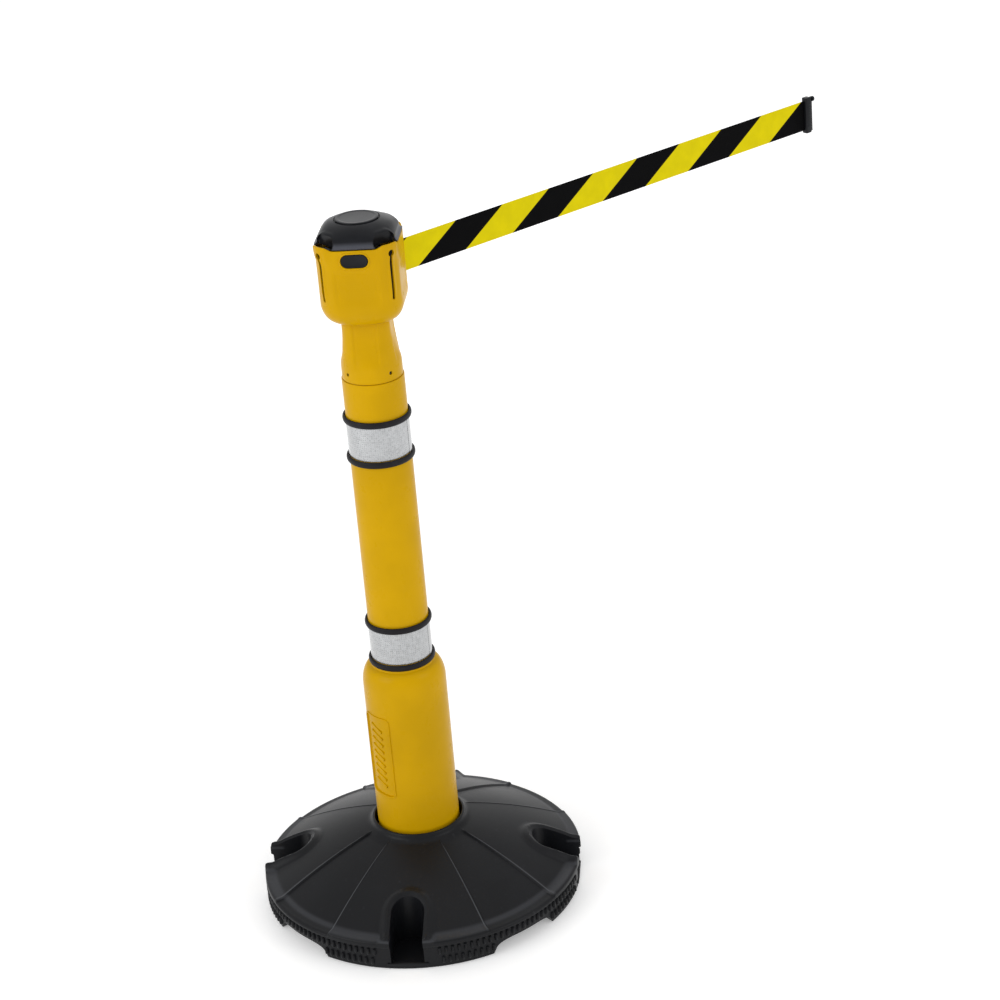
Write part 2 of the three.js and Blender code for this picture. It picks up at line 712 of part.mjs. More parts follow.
// The drum that holds the mainspring, keyed under the reel.
function makeDrum() {
  const { wall } = drum;
  const bore = reel.axleRadius + 0.35;
  return piece('spring_drum', turned([
    [bore + 5, drumBottom], [drumRadius, drumBottom], [drumRadius, drumTop + 1.2],
    [bore, drumTop + 1.2], [bore, drumTop - wall], [drumRadius - wall, drumTop - wall],
    [drumRadius - wall, drumBottom + wall], [bore + 5, drumBottom + wall],
  ], facets.medium), innerPlastic());
}

function makeMainspring() {
  const { turns, thickness, innerRadius, room } = spring;
  const outerRadius = drumRadius - room;
  const steps = turns * 12;
  const edge = (offset) => Array.from({ length: steps + 1 }, (_, i) => {
    const angle = 2 * Math.PI * turns * i / steps;
    const radius = innerRadius + (outerRadius - innerRadius) * i / steps + offset;
    return new THREE.Vector2(radius * Math.cos(angle), radius * Math.sin(angle));
  });
  const outline = [...edge(thickness / 2), ...edge(-thickness / 2).reverse()];
  return piece('mainspring', prism(new THREE.Shape(outline), drumBottom + drum.wall + 0.5,
    drumTop - drum.wall - 0.5, 1), steel());
}

function makeDragWasher() {
  const low = drumTop + 1.2 + clearance / 2;
  return piece('drag_washer', hoop(hubRadius, flangeRadius - 6, low,
    flangeLow - clearance / 2, facets.medium), ringRubber());
}

function makeGuidePins() {
  const x = pocketInner + slot.pocketDepth / 2;
  const y = slot.pocketWidth / 2 - 0.35 - 1.6;
  const pin = (side) => disc(1.6, slotBottom + clearance, keyholeHeight - 4, facets.small)
    .translate(x, side * y, 0);
  return [
    piece('guide_pin_1', pin(1), steel()),
    piece('guide_pin_2', pin(-1), steel()),
  ];
}

// ---------------------------------------------------------------- button
function makeButton() {
  const shape = roundedRectangle(button.width, button.height, button.height / 2);
  const flange = roundedRectangle(button.width + 5, button.height + 5, button.height / 2 + 2.5);
  const face = head.halfWidth + button.proud;
  const front = solid(outwardPrism(shape, buttonBack + 0.5, face, buttonMiddle, 6));
  const back = solid(outwardPrism(flange, buttonBack, head.halfWidth - head.wall - clearance,
    buttonMiddle, 6));
  return piece('lock_button', front.add(back), glossBlack());
}

function makePlunger() {
  const outer = buttonBack - clearance;
  const point = new THREE.Shape();
  const half = plunger.width / 2;
  point.moveTo(outer, -half);
  point.lineTo(outer, half);
  point.lineTo(plunger.tip + 3, half);
  point.lineTo(plunger.tip, 0.8);
  point.lineTo(plunger.tip, -0.8);
  point.lineTo(plunger.tip + 3, -half);
  return piece('lock_plunger', prism(point, plunger.low, plunger.high), innerPlastic());
}

// A coil with flat-cut ends, along +X behind the button.
function makeButtonSpring() {
  const from = webDistance + web.thickness + clearance + coil.wire;
  const to = buttonBack - clearance - coil.wire;
  const height = buttonMiddle + 4;
  class Helix extends THREE.Curve {
    getPoint(t, target = new THREE.Vector3()) {
      const angle = 2 * Math.PI * coil.turns * t;
      return target.set(from + (to - from) * t, coil.radius * Math.cos(angle),
        height + coil.radius * Math.sin(angle));
    }
  }
  const wire = new THREE.Shape().absarc(0, 0, coil.wire, 0, Math.PI * 2);
  return piece('button_spring', new THREE.ExtrudeGeometry(wire, {
    steps: coil.turns * 10, extrudePath: new Helix(), bevelEnabled: false, curveSegments: 2,
  }), steel());
}

// ---------------------------------------------------------------- belt
// From the roll to the exit, then straight out to the clip.
function makeBelt() {
  const half = belt.thickness / 2;
  const bend = pocketInner + slot.pocketDepth / 2 - 4;
  const leave = rollRadius + clearance + half;
  const tangent = Math.acos(leave / bend);
  const onRoll = (radius) => [radius * Math.cos(tangent), radius * Math.sin(tangent)];
  const path = new THREE.Shape();
  path.moveTo(...onRoll(leave - half));
  path.lineTo(bend - half, -half);
  path.lineTo(clipStart - clearance, -half);
  path.lineTo(clipStart - clearance, half);
  path.lineTo(bend + half, half);
  path.lineTo(...onRoll(leave + half));
  return piece('belt', prism(path, beltBottom, beltTop), webbing());
}

function makeClip() {
  const low = beltBottom - clip.overlap;
  const high = beltTop + clip.overlap;
  const end = clipStart + clip.width;
  const outline = roundedRectangle(clip.width, clip.thickness, 3);
  const body = solid(placed(prism(outline, low, high, 3), clipStart + clip.width / 2, 0, 0));
  const bladeEnd = end + slot.outerWall + 1.4;
  const blade = solid(block(end - 2, bladeEnd, -clip.blade / 2, clip.blade / 2, low + 1, high - 1));
  const knob = solid(disc(clip.head, 0, clip.headLength, facets.small).rotateY(Math.PI / 2)
    .translate(bladeEnd - 0.5, 0, high - clip.head - 1));
  return piece('end_clip', body.add(blade).add(knob), glossBlack());
}

// ---------------------------------------------------------------- assembly
const stanchion = new THREE.Group();
stanchion.add(makeBase());

const postGroup = new THREE.Group();
postGroup.add(
  makeSleeve(), makePostFoot(), makeTube(),
  ...makeBandSet(0, post.sleeveTop + clearance + ring.height + clearance),
  ...makeBandSet(1, post.tubeTop - reflector.upperDrop),
  makeCoupler(), makeNeck(), ...makeNeckScrews(),
);
stanchion.add(postGroup);
stanchion.add(...makePivot());

const headGroup = new THREE.Group();
headGroup.position.z = headBottom;
headGroup.add(
  makeHousing(), makeCap(), ...makeBadge(), makeAxle(), makePlate(), makeReel(), makeBeltRoll(),
  makeDrum(), makeMainspring(), makeDragWasher(), ...makeGuidePins(), makeBelt(), makeClip(),
);
const lockGroup = new THREE.Group();
lockGroup.rotation.z = radians(buttonAngle);
lockGroup.add(makeButton(), makePlunger(), makeButtonSpring());
headGroup.add(lockGroup);
stanchion.add(headGroup);

export default stanchion;
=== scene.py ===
"""Looks of the belt stanchion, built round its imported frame.

The frame holds the sizes and the moving bodies. This add-on models the surfaces that
are seen, gives every piece its finish, and sets a plain studio with one camera.
"""

import json
import math

import bmesh
import bpy
from bpy.props import FloatProperty, FloatVectorProperty, PointerProperty
from mathutils import Matrix, Vector


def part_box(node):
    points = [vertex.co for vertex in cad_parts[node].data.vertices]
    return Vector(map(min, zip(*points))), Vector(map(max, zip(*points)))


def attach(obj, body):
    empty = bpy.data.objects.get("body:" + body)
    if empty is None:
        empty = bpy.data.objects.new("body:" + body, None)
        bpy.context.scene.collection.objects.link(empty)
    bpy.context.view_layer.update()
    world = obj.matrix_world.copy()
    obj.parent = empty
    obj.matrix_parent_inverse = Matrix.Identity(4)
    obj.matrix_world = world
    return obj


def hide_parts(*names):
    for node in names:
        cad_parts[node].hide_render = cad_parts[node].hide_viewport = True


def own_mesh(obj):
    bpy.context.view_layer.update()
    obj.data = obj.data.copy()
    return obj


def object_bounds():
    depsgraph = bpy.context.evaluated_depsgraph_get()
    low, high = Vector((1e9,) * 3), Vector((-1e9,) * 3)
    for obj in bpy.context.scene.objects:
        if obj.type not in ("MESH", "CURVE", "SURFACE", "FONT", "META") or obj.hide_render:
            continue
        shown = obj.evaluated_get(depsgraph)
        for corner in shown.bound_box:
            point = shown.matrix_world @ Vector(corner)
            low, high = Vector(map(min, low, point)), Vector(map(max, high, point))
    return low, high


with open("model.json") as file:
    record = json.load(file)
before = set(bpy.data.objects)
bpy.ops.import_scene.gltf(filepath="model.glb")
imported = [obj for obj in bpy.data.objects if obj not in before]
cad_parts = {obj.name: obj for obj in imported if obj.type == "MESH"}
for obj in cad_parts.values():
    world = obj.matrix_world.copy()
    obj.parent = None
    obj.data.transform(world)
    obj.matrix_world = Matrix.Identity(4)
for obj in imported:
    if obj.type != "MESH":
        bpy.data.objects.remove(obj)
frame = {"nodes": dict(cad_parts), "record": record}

bl_info = {
    "name": "Belt stanchion",
    "version": (1, 0, 0),
    "blender": (4, 5, 0),
    "location": "View3D > Sidebar > Stanchion",
    "description": "Builds the finished surfaces of a retractable-belt stanchion",
    "category": "Add Mesh",
}

CAD_BOX = [list(corner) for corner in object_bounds()]
QUARTERS = [math.radians(a) for a in (0, 90, 180, 270)]
FACES = [math.radians(a) for a in (45, 135, 225, 315)]
BUTTON_FACE = math.radians(225)
PANEL_EDGE = math.radians(15.75)  # from the middle of an arch panel to the ridge beside it
ARCH_EDGE = math.radians(13.75)  # from the middle of an arch to its end
STUD_ROWS = (0.0065, 0.0235)  # foot of each row of studs
RIB_ANGLES = [quarter + math.radians(a) for quarter in QUARTERS for a in (-15, 15)]
CAMERA_PLACE = Vector((-2.1585, -2.9964, 2.3351))
CAMERA_AIM = Vector((0.22, 0.0, 0.60))
LAMP_AIM = Vector((0, 0, 0.6))
LAMPS = (  # name, place, side, power
    ("left_softbox", (-3.2, 0.4, 2.2), 2.2, 38), ("right_softbox", (1.6, -3.4, 2.6), 2.0, 26),
    ("overhead", (0.3, 0.3, 3.6), 3.0, 10), ("back_rim", (2.6, 2.8, 2.6), 2.8, 15),
)


# ------------------------------------------------------------------ places from the frame
class Place:
    """Lowest and highest corner of a CAD node, and the radius and heights that follow."""

    def __init__(self, node):
        low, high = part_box(node)
        self.low, self.high = Vector(low), Vector(high)
        self.radius = (self.high.y - self.low.y) / 2
        self.bottom, self.top = self.low.z, self.high.z
        self.middle = (self.bottom + self.top) / 2


BASE = Place("base")
SLEEVE = Place("lower_sleeve")
TUBE = Place("post_tube")
NECK = Place("neck")
HOUSING = Place("head_housing")
CAP = Place("head_cap")
DISC = Place("cap_disc")
BUTTON = Place("lock_button")
BELT = Place("belt")
CLIP = Place("end_clip")
BELT_WIDTH = BELT.top - BELT.bottom
DOME_EDGE = BASE.radius - 0.013


def length(name, metres, about, low=0.0):
    return FloatProperty(name=name, default=metres, min=low, unit="LENGTH", description=about)


def colour(name, value, about):
    return FloatVectorProperty(name=name, default=value, size=3, min=0, max=1,
                               subtype="COLOR", description=about)


class BaseSizes(bpy.types.PropertyGroup):
    """The heavy base."""
    crown: length("Crown", 0.082, "Radius where the dome meets the collar")
    crown_height: length("Crown height", 0.119, "Height of the dome at the collar")
    band: length("Side band", 0.049, "Height of the studded side")
    bulge: length("Bulge", 0.005, "How far the dome stands above a straight cone")
    mouth: length("Mouth", 0.0695, "Radius of the open gap round the sleeve")
    floor: length("Socket floor", 0.012, "Height of the socket's floor")
    notch_width: length("Notch width", 0.052, "Width of a hand notch")
    notch_reach: length("Notch reach", 0.077, "Depth of a notch from the rim")
    notch_floor: length("Notch floor", 0.008, "Height of a notch's floor")
    surround: length("Surround", 0.0082, "Height of the lip round a notch")
    surround_width: length("Surround width", 0.020, "Width of the lip round a notch")
    panel_step: length("Panel step", 0.0024, "Drop from a notch panel to an arch panel")
    arch_height: length("Arch height", 0.019, "Height of the shallow cuts in the rim")
    stud_pitch: length("Stud pitch", 0.0103, "Distance between studs")
    stud_width: length("Stud width", 0.0056, "Width of a stud")
    stud_height: length("Stud height", 0.0125, "Height of a stud")


class PostSizes(bpy.types.PropertyGroup):
    """The sleeve, the tube and the foot of the neck."""
    sleeve_wall: length("Sleeve wall", 0.0035, "Wall of the lower sleeve")
    shoulder: length("Shoulder", 0.032, "Height of the sleeve's round shoulder")
    shoulder_neck: length("Shoulder neck", 0.050, "Radius where the shoulder meets the tube")
    label_half: length("Label half width", 0.026, "Half the width of the label recess")
    label_tall: length("Label half height", 0.0685, "Half the height of the label recess")
    label_middle: length("Label middle", 0.260, "Height of the label recess's middle")
    tube_wall: length("Tube wall", 0.0025, "Wall of the tube")
    neck_foot: length("Neck foot", 0.0455, "Radius of the neck at its seam")
    neck_panel: length("Neck panel", 0.0019, "How far the neck's flat panels are sunk")


class HeadSizes(bpy.types.PropertyGroup):
    """The top of the neck, the head and its cap."""
    half: length("Half width", 0.0615, "From the axis to a flat face of the head")
    reach: length("Corner reach", 0.07165, "From the axis to a corner of the head")
    wall: length("Wall", 0.0032, "Wall of the head")
    bowl: length("Bowl", 0.034, "Height of the curved underside")
    slot_width: length("Slot width", 0.0046, "Width of a receiver slot")
    slot_bottom: length("Slot bottom", 0.0405, "From the head's underside to a slot")
    keyhole: length("Keyhole", 0.005, "Radius of the keyhole")
    keyhole_height: length("Keyhole height", 0.112, "From the head's underside to a keyhole")
    rim: length("Rim", 0.1205, "From the head's underside to the rim")
    neck_half: length("Neck half width", 0.0375, "Neck under the head, to a flat")
    neck_reach: length("Neck corner reach", 0.042, "Neck under the head, to a corner")
    cap_skirt: length("Cap skirt", 0.0095, "Upright part of the cap's side")
    notch_width: length("Cap notch width", 0.040, "Width of the arches in the cap")
    notch_height: length("Cap notch height", 0.0175, "Height of the arches in the cap")
    bead: length("Slot bead", 0.0012, "How far the wall rolls out beside a slot")
    recess: length("Face recess", 0.0019, "How far the flat faces are sunk below the button")
    flare: length("Rim flare", 0.0042, "How far the rim leans out over a receiver slot")
    tab: length("Rim tab", 0.0055, "How far the rim stands up over a slot")
    cove: length("Cap cove", 0.0058, "Depth of the scooped side of the cap")
    press: length("Press", 0.003, "How far the lock button goes in")


class BeltSizes(bpy.types.PropertyGroup):
    """The webbing and its stripes."""
    thickness: length("Thickness", 0.0011, "Thickness of the webbing")
    travel: length("Travel", 0.857, "How far the clip comes back to the head")
    stripe: length("Stripe", 0.0928, "Length of one stripe along the belt")
    lean: length("Lean", 0.078, "How far a stripe's top leads its foot")
    first_black: length("First black", 0.102, "Where the first black stripe meets the lower edge")


class Finishes(bpy.types.PropertyGroup):
    """Colours of the plastics, rubber and webbing."""
    yellow: colour("Yellow plastic", (0.575, 0.325, 0.0), "Post, neck and head")
    black: colour("Base", (0.0062, 0.0066, 0.0080), "Moulded base")
    gloss: colour("Cap", (0.0075, 0.0081, 0.0102), "Cap, button and clip")
    rubber: colour("Rings", (0.0065, 0.006, 0.008), "Rubber rings")
    sheet: colour("Reflective sheet", (0.49, 0.50, 0.51), "Bands on the post")
    lemon: colour("Belt yellow", (0.74, 0.62, 0.002), "Light stripes of the belt")
    ink: colour("Belt black", (0.0008, 0.0008, 0.001), "Dark stripes of the belt")


# ------------------------------------------------------------------ materials
class Wire:
    """A shader socket. Arithmetic on it adds Math nodes to its tree."""

    def __init__(self, finish, socket):
        self.finish = finish
        self.socket = socket

    def _with(self, operation, *values):
        return self.finish.add("ShaderNodeMath", {"operation": operation}, dict(enumerate(values)))

    def __add__(self, other):
        return self._with("ADD", self, other)

    def __radd__(self, other):
        return self._with("ADD", other, self)

    def __sub__(self, other):
        return self._with("SUBTRACT", self, other)

    def __rsub__(self, other):
        return self._with("SUBTRACT", other, self)

    def __mul__(self, other):
        return self._with("MULTIPLY", self, other)

    def __rmul__(self, other):
        return self._with("MULTIPLY", other, self)

    def __truediv__(self, other):
        return self._with("DIVIDE", self, other)

    def __rtruediv__(self, other):
        return self._with("DIVIDE", other, self)

    def __mod__(self, other):
        return self._with("FLOORED_MODULO", self, other)

    def sine(self):
        return self._with("SINE", self)

    def size(self):
        return self._with("ABSOLUTE", self)

    def least(self, other):
        return self._with("MINIMUM", self, other)

    def ramp(self, low, high):
        """0 below low, 1 above high, smooth between."""
        return self.finish.add("ShaderNodeMapRange", {"interpolation_type": "SMOOTHSTEP"},
                               {0: self, 1: low, 2: high})


class Finish:
    """One procedural material with a Principled shader."""

    def __init__(self, name, **fixed):
        self.material = bpy.data.materials.new(name)
        self.material.use_nodes = True
        self.tree = self.material.node_tree
        self.shader = next(n for n in self.tree.nodes if n.type == "BSDF_PRINCIPLED")
        self.set(**fixed)
        self.place = self.add("ShaderNodeTexCoord", {}, {}, "Object")

    def set(self, **values):
        for name, value in values.items():
            socket = name.replace("_", " ").title().replace("Ior", "IOR")
            self._feed(self.shader.inputs[socket], value)
        return self

    def _feed(self, socket, value):
        if isinstance(value, Wire):
            self.tree.links.new(value.socket, socket)
        elif socket.type == "RGBA" and len(value) == 3:
            socket.default_value = (*value, 1.0)
        else:
            socket.default_value = value

    def add(self, kind, settings, values, output=0):
        """A node: its settings first, then its sockets' values or links."""
        node = self.tree.nodes.new(kind)
        for name, value in settings.items():
            setattr(node, name, value)
        for name, value in values.items():
            self._feed(node.inputs[name], value)
        return Wire(self, node.outputs[output])

    def noise(self, scale, detail=2.0, roughness=0.5, at=None):
        return self.add("ShaderNodeTexNoise", {}, {"Vector": at or self.place, "Scale": scale,
                                                   "Detail": detail, "Roughness": roughness})

    def mixed(self, share, first, second):
        return self.add("ShaderNodeMix", {"data_type": "RGBA"}, {0: share, 6: first, 7: second}, 2)

    def stretched(self, scale):
        """Object coordinates scaled differently along each axis."""
        return self.add("ShaderNodeMapping", {}, {"Vector": self.place, "Scale": scale})

    def axes(self, vector=None):
        """The three coordinates as separate wires."""
        split = self.add("ShaderNodeSeparateXYZ", {}, {0: vector or self.place})
        return [Wire(self, socket) for socket in split.socket.node.outputs]

    def spread(self):
        """Distance from the upright axis."""
        x, y, _ = self.axes()
        flat = self.add("ShaderNodeCombineXYZ", {}, {0: x, 1: y, 2: 0.0})
        return self.add("ShaderNodeVectorMath", {"operation": "LENGTH"}, {0: flat}, "Value")

    def turn(self):
        """Angle round the upright axis."""
        x, y, _ = self.axes()
        return self.add("ShaderNodeMath", {"operation": "ARCTAN2"}, {0: y, 1: x})

    def fold(self):
        """Angle to the nearest of the four main directions."""
        return ((self.turn() + math.pi / 4) % (math.pi / 2) - math.pi / 4).size()

    def bump(self, height, distance, strength=1.0):
        normal = self.add("ShaderNodeBump", {}, {"Height": height, "Distance": distance,
                                                 "Strength": strength})
        return self.set(normal=normal)


def shade(tone, factor):
    return tuple(min(1.0, c * factor) for c in tone)


def yellow_plastic(tones):
    """Satin moulded plastic: fine grain, faint flow marks and a little grime."""
    f = Finish("yellow_plastic", specular_ior_level=0.07)
    cloud = f.noise(9.0, 3.0)
    grime = f.noise(34.0, 6.0, 0.65)
    tone = f.mixed(cloud.ramp(0.35, 0.7), shade(tones.yellow, 0.94), shade(tones.yellow, 1.06))
    tone = f.mixed(grime.ramp(0.68, 0.88) * 0.02, tone, (0.42, 0.2, 0.01))
    flow = f.noise(1.0, 3.0, at=f.stretched((60.0, 60.0, 6.0)))
    f.set(base_color=tone, roughness=0.22 + 0.08 * f.noise(60.0, 4.0) + 0.05 * flow)
    return f.bump(f.noise(1500.0, 2.0) * 0.4 + flow * 0.6, 0.00012, 0.55).material


def base_black(tones):
    """Dense black moulding with a fine leathery grain, patches of dust, and painted highlights along the
    panel ridges and round the rim.
    """
    f = Finish("base_black", specular_ior_level=0.18)
    dust = f.noise(7.0, 5.0, 0.6)
    tone = f.mixed(dust.ramp(0.4, 0.75), tones.black, shade(tones.black, 1.5))
    scuff = f.noise(1.0, 5.0, at=f.stretched((140.0, 140.0, 40.0)))
    tone = f.mixed(scuff.ramp(0.62, 0.8) * 0.35, tone, (0.03, 0.032, 0.037))
    z = f.axes()[2]
    # painted highlight: a lighter line along each ridge between the dome's panels
    painted_ridge_highlight = 1.0 - ((f.fold() - PANEL_EDGE).size() * 170.0).least(1.0)
    painted_ridge_highlight = painted_ridge_highlight * z.ramp(0.047, 0.052) * (1.0 - z.ramp(0.112, 0.118))
    tone = f.mixed(painted_ridge_highlight * 0.8, tone, (0.10, 0.105, 0.115))
    # painted highlight: a lighter band round the dome's outer edge, just above the studded side
    painted_rim_highlight = z.ramp(0.0465, 0.0492) * (1.0 - z.ramp(0.0505, 0.0545)) * f.spread().ramp(0.230, 0.236)
    tone = f.mixed(painted_rim_highlight * 0.35, tone, (0.075, 0.078, 0.088))
    grain = f.add("ShaderNodeTexVoronoi", {}, {"Vector": f.place, "Scale": 520.0}, "Distance")
    f.set(base_color=tone, roughness=0.32 + 0.12 * dust)
    return f.bump(grain * 0.7 + f.noise(900.0, 3.0) * 0.5, 0.0002, 0.5).material


def gloss_black(tones):
    """Smooth black plastic with light handling marks, and a painted highlight low on the cap's skirt away
    from the arches.
    """
    f = Finish("gloss_black", specular_ior_level=0.14, coat_weight=0.04, coat_roughness=0.2)
    smear = f.noise(26.0, 5.0, 0.6)
    tone = f.mixed(smear.ramp(0.4, 0.8), tones.gloss, shade(tones.gloss, 1.6))
    height = f.axes()[2] - CAP.bottom
    # painted highlight: the lower skirt of the cap is lightened, except near the arches at the corners
    skirt = height.ramp(-0.001, 0.0) * (1.0 - height.ramp(0.002, 0.011)) * f.fold().ramp(0.29, 0.34)
    tone = f.mixed(skirt * 0.6, tone, (0.115, 0.12, 0.145))
    f.set(base_color=tone, roughness=0.24 + 0.16 * smear)
    return f.bump(f.noise(700.0, 2.0), 0.0001, 0.3).material


def ring_rubber(tones):
    """Matt black rubber with mould specks."""
    f = Finish("ring_rubber", specular_ior_level=0.2)
    bloom = f.noise(90.0, 4.0)
    tone = f.mixed(bloom.ramp(0.45, 0.8), tones.rubber, shade(tones.rubber, 2.0))
    f.set(base_color=tone, roughness=0.46 + 0.15 * bloom)
    return f.bump(f.noise(1800.0, 2.0), 0.0002, 0.5).material


def reflective_sheet(tones):
    """Silver sheeting: small prism cells in a brighter honeycomb net."""
    f = Finish("reflective_sheet", metallic=0.0, coat_weight=0.6, coat_roughness=0.08)
    across = f.add("ShaderNodeCombineXYZ", {}, {0: f.turn() * 0.0479, 1: f.axes()[2], 2: 0.0})
    comb = {"Vector": across, "Scale": 300.0, "Randomness": 0.12}
    net = f.add("ShaderNodeTexVoronoi", {"feature": "DISTANCE_TO_EDGE"}, comb, "Distance")
    cell = f.add("ShaderNodeTexVoronoi", {}, comb, "Color")
    spark = f.axes(cell)[0]
    line = 1.0 - net.ramp(0.02, 0.09)
    cells = f.mixed(spark, shade(tones.sheet, 0.72), shade(tones.sheet, 0.9))
    f.set(base_color=f.mixed(line * 0.4, cells, (0.72, 0.72, 0.72)), roughness=0.22 + 0.2 * line)
    f.set(metallic=0.8 - 0.4 * line)
    return f.bump(spark * 0.3 + line * 0.5, 0.0002, 0.4).material


def webbing(tones, sizes):
    """Woven belt: slanted stripes in its own UV map, with a fine rib weave."""
    f = Finish("webbing", specular_ior_level=0.04)
    along, across, _ = f.axes(f.add("ShaderNodeUVMap", {"uv_map": "belt"}, {}))
    run = along - across * (sizes.lean / BELT_WIDTH)
    phase = (run - sizes.first_black) % (2 * sizes.stripe) / sizes.stripe
    dark = phase.ramp(0.0, 0.012) * (1.0 - phase.ramp(0.994, 1.006))
    weave = (along * (math.tau / 0.0009)).sine() * (across * (math.tau / 0.0016)).sine()
    fade = f.noise(40.0, 4.0)
    light = f.mixed(fade.ramp(0.3, 0.75), shade(tones.lemon, 0.9), tones.lemon)
    light = f.mixed(weave.ramp(-1.0, 1.0) * 0.3, light, shade(tones.lemon, 0.8))
    night = f.mixed(weave.ramp(-1.0, 1.0), tones.ink, shade(tones.ink, 2.0))
    f.set(base_color=f.mixed(dark, light, night), roughness=0.58 + 0.1 * fade)
    return f.bump(weave, 0.00015, 0.5).material


def steel_plain(tones):
    """Steel darkened almost to black: painted shade for the screw heads sunk in the neck."""
    f = Finish("plain_steel", metallic=1.0)
    wear = f.noise(120.0, 4.0)
    # painted shade: the dark steel colour stands in for the shadow in the sunk screw holes
    f.set(base_color=f.mixed(wear, (0.05, 0.051, 0.054), (0.085, 0.087, 0.09)),
          roughness=0.28 + 0.18 * wear)
    return f.bump(f.noise(800.0, 2.0), 0.00008, 0.3).material


def inner_plastic(tones):
    """Grey moulded plastic of the parts inside; on the channels behind the head's slots it is painted
    shade.
    """
    f = Finish("inner_plastic")
    cloud = f.noise(30.0, 3.0)
    f.set(base_color=f.mixed(cloud, (0.06, 0.065, 0.07), (0.09, 0.095, 0.1)),
          roughness=0.42 + 0.12 * cloud)
    return f.bump(f.noise(900.0, 2.0), 0.0001, 0.3).material


def floor_pale(tones):
    """Seamless pale studio floor."""
    f = Finish("floor_pale", emission_strength=1.0)
    cloud = f.noise(1.5, 2.0)
    f.set(emission_color=f.mixed(f.spread().ramp(0.8, 2.6), (0.28, 0.28, 0.28), (0.44, 0.44, 0.44)))
    f.set(base_color=f.mixed(cloud, (0.86, 0.86, 0.86), (0.9, 0.9, 0.9)), roughness=0.6)
    return f.material


materials = {}


def finish_of(name):
    """The material of that name, made the first time it is asked for."""
    if name not in materials:
        tones = bpy.context.scene.stanchion_finishes
        makers = {
            "yellow_plastic": yellow_plastic, "base_rubber": base_black,
            "gloss_black": gloss_black, "ring_rubber": ring_rubber,
            "reflective_sheet": reflective_sheet, "steel": steel_plain,
            "inner_plastic": inner_plastic, "floor": floor_pale,
            "webbing": lambda t: webbing(t, bpy.context.scene.stanchion_belt),
        }
        materials[name] = makers[name](tones)
    return materials[name]


# ------------------------------------------------------------------ shaping tools
def rounded(corners, closed=False, steps=4):
    """An outline from (x, y, fillet) corners; each fillet is a short smooth curve."""
    points, count = [], len(corners)
    for i, (x, y, *fillet) in enumerate(corners):
        here = Vector((x, y))
        if not fillet or fillet[0] == 0 or (not closed and i in (0, count - 1)):
            points.append(here)
            continue
        before = Vector(corners[i - 1][:2]) - here
        after = Vector(corners[(i + 1) % count][:2]) - here
        start = here + before.normalized() * min(fillet[0], before.length * 0.49)
        end = here + after.normalized() * min(fillet[0], after.length * 0.49)
        for step in range(steps + 1):
            t = step / steps
            points.append(start * (1 - t) ** 2 + here * 2 * t * (1 - t) + end * t ** 2)
    return [(p.x, p.y) for p in points]


def moved(bm, x=0.0, y=0.0, z=0.0):
    bmesh.ops.translate(bm, verts=bm.verts, vec=(x, y, z))
    return bm


def turned(bm, angle, axis="Z"):
    bmesh.ops.rotate(bm, verts=bm.verts, cent=(0, 0, 0), matrix=Matrix.Rotation(angle, 3, axis))
    return bm


def brick(x, y, z):
    """A box of those sizes round the origin."""
    bm = bmesh.new()
    bmesh.ops.create_cube(bm, size=1.0)
    bmesh.ops.scale(bm, verts=bm.verts, vec=(x, y, z))
    return bm


def spun(profile, steps=128, closed=False, sweep=math.tau):
    """A surface turned about Z from (radius, height) points."""
    bm = bmesh.new()
    verts = [bm.verts.new((radius, 0, height)) for radius, height in profile]
    pairs = zip(verts, verts[1:] + (verts[:1] if closed else []))
    edges = [bm.edges.new(pair) for pair in pairs]
    bmesh.ops.spin(bm, geom=verts + edges, cent=(0, 0, 0), axis=(0, 0, 1), angle=sweep,
                   steps=steps, use_merge=sweep == math.tau)
    bmesh.ops.remove_doubles(bm, verts=bm.verts, dist=1e-7)
    bmesh.ops.recalc_face_normals(bm, faces=bm.faces)
    return bm


def pushed(outline, low, high):
    """A flat outline in X and Y pushed up between two heights."""
    bm = bmesh.new()
    face = bm.faces.new([bm.verts.new((x, y, low)) for x, y in outline])
    grown = bmesh.ops.extrude_face_region(bm, geom=[face])
    tops = [g for g in grown["geom"] if isinstance(g, bmesh.types.BMVert)]
    bmesh.ops.translate(bm, verts=tops, vec=(0, 0, high - low))
    bmesh.ops.recalc_face_normals(bm, faces=bm.faces)
    return bm


def outward(outline, near, far, height=0.0):
    """An upright outline (sideways, up) pushed outwards along X between two distances."""
    bm = pushed(outline, near, far)
    turn = Matrix(((0, 0, 1, 0), (1, 0, 0, 0), (0, 1, 0, height), (0, 0, 0, 1)))
    bmesh.ops.transform(bm, matrix=turn, verts=bm.verts)
    bmesh.ops.recalc_face_normals(bm, faces=bm.faces)
    return bm


def merged(*parts):
    """Several bmeshes as one."""
    whole = bmesh.new()
    for part in parts:
        mesh = bpy.data.meshes.new("part")
        part.to_mesh(mesh)
        part.free()
        whole.from_mesh(mesh)
        bpy.data.meshes.remove(mesh)
    return whole


def ringed(make, angles):
    """Copies of a shape turned about Z to each angle."""
    return merged(*(turned(make(), angle) for angle in angles))


def laced(rings, closed=False):
    """Faces between rings of equally many points. Ends are filled unless it closes."""
    bm = bmesh.new()
    rows = [[bm.verts.new(point) for point in ring] for ring in rings]
    for near, far in zip(rows, rows[1:] + (rows[:1] if closed else [])):
        for i, corner in enumerate(near):
            bm.faces.new((near[i - 1], corner, far[i], far[i - 1]))
    if not closed:
        for ends in (rows[0], rows[-1]):
            bm.faces.new(ends)
    bmesh.ops.recalc_face_normals(bm, faces=bm.faces)
    return bm


def loose(name, bm):
    mesh = bpy.data.meshes.new(name)
    bm.normal_update()
    bm.to_mesh(mesh)
    bm.free()
    made = bpy.data.objects.new(name, mesh)
    bpy.context.collection.objects.link(made)
    return made


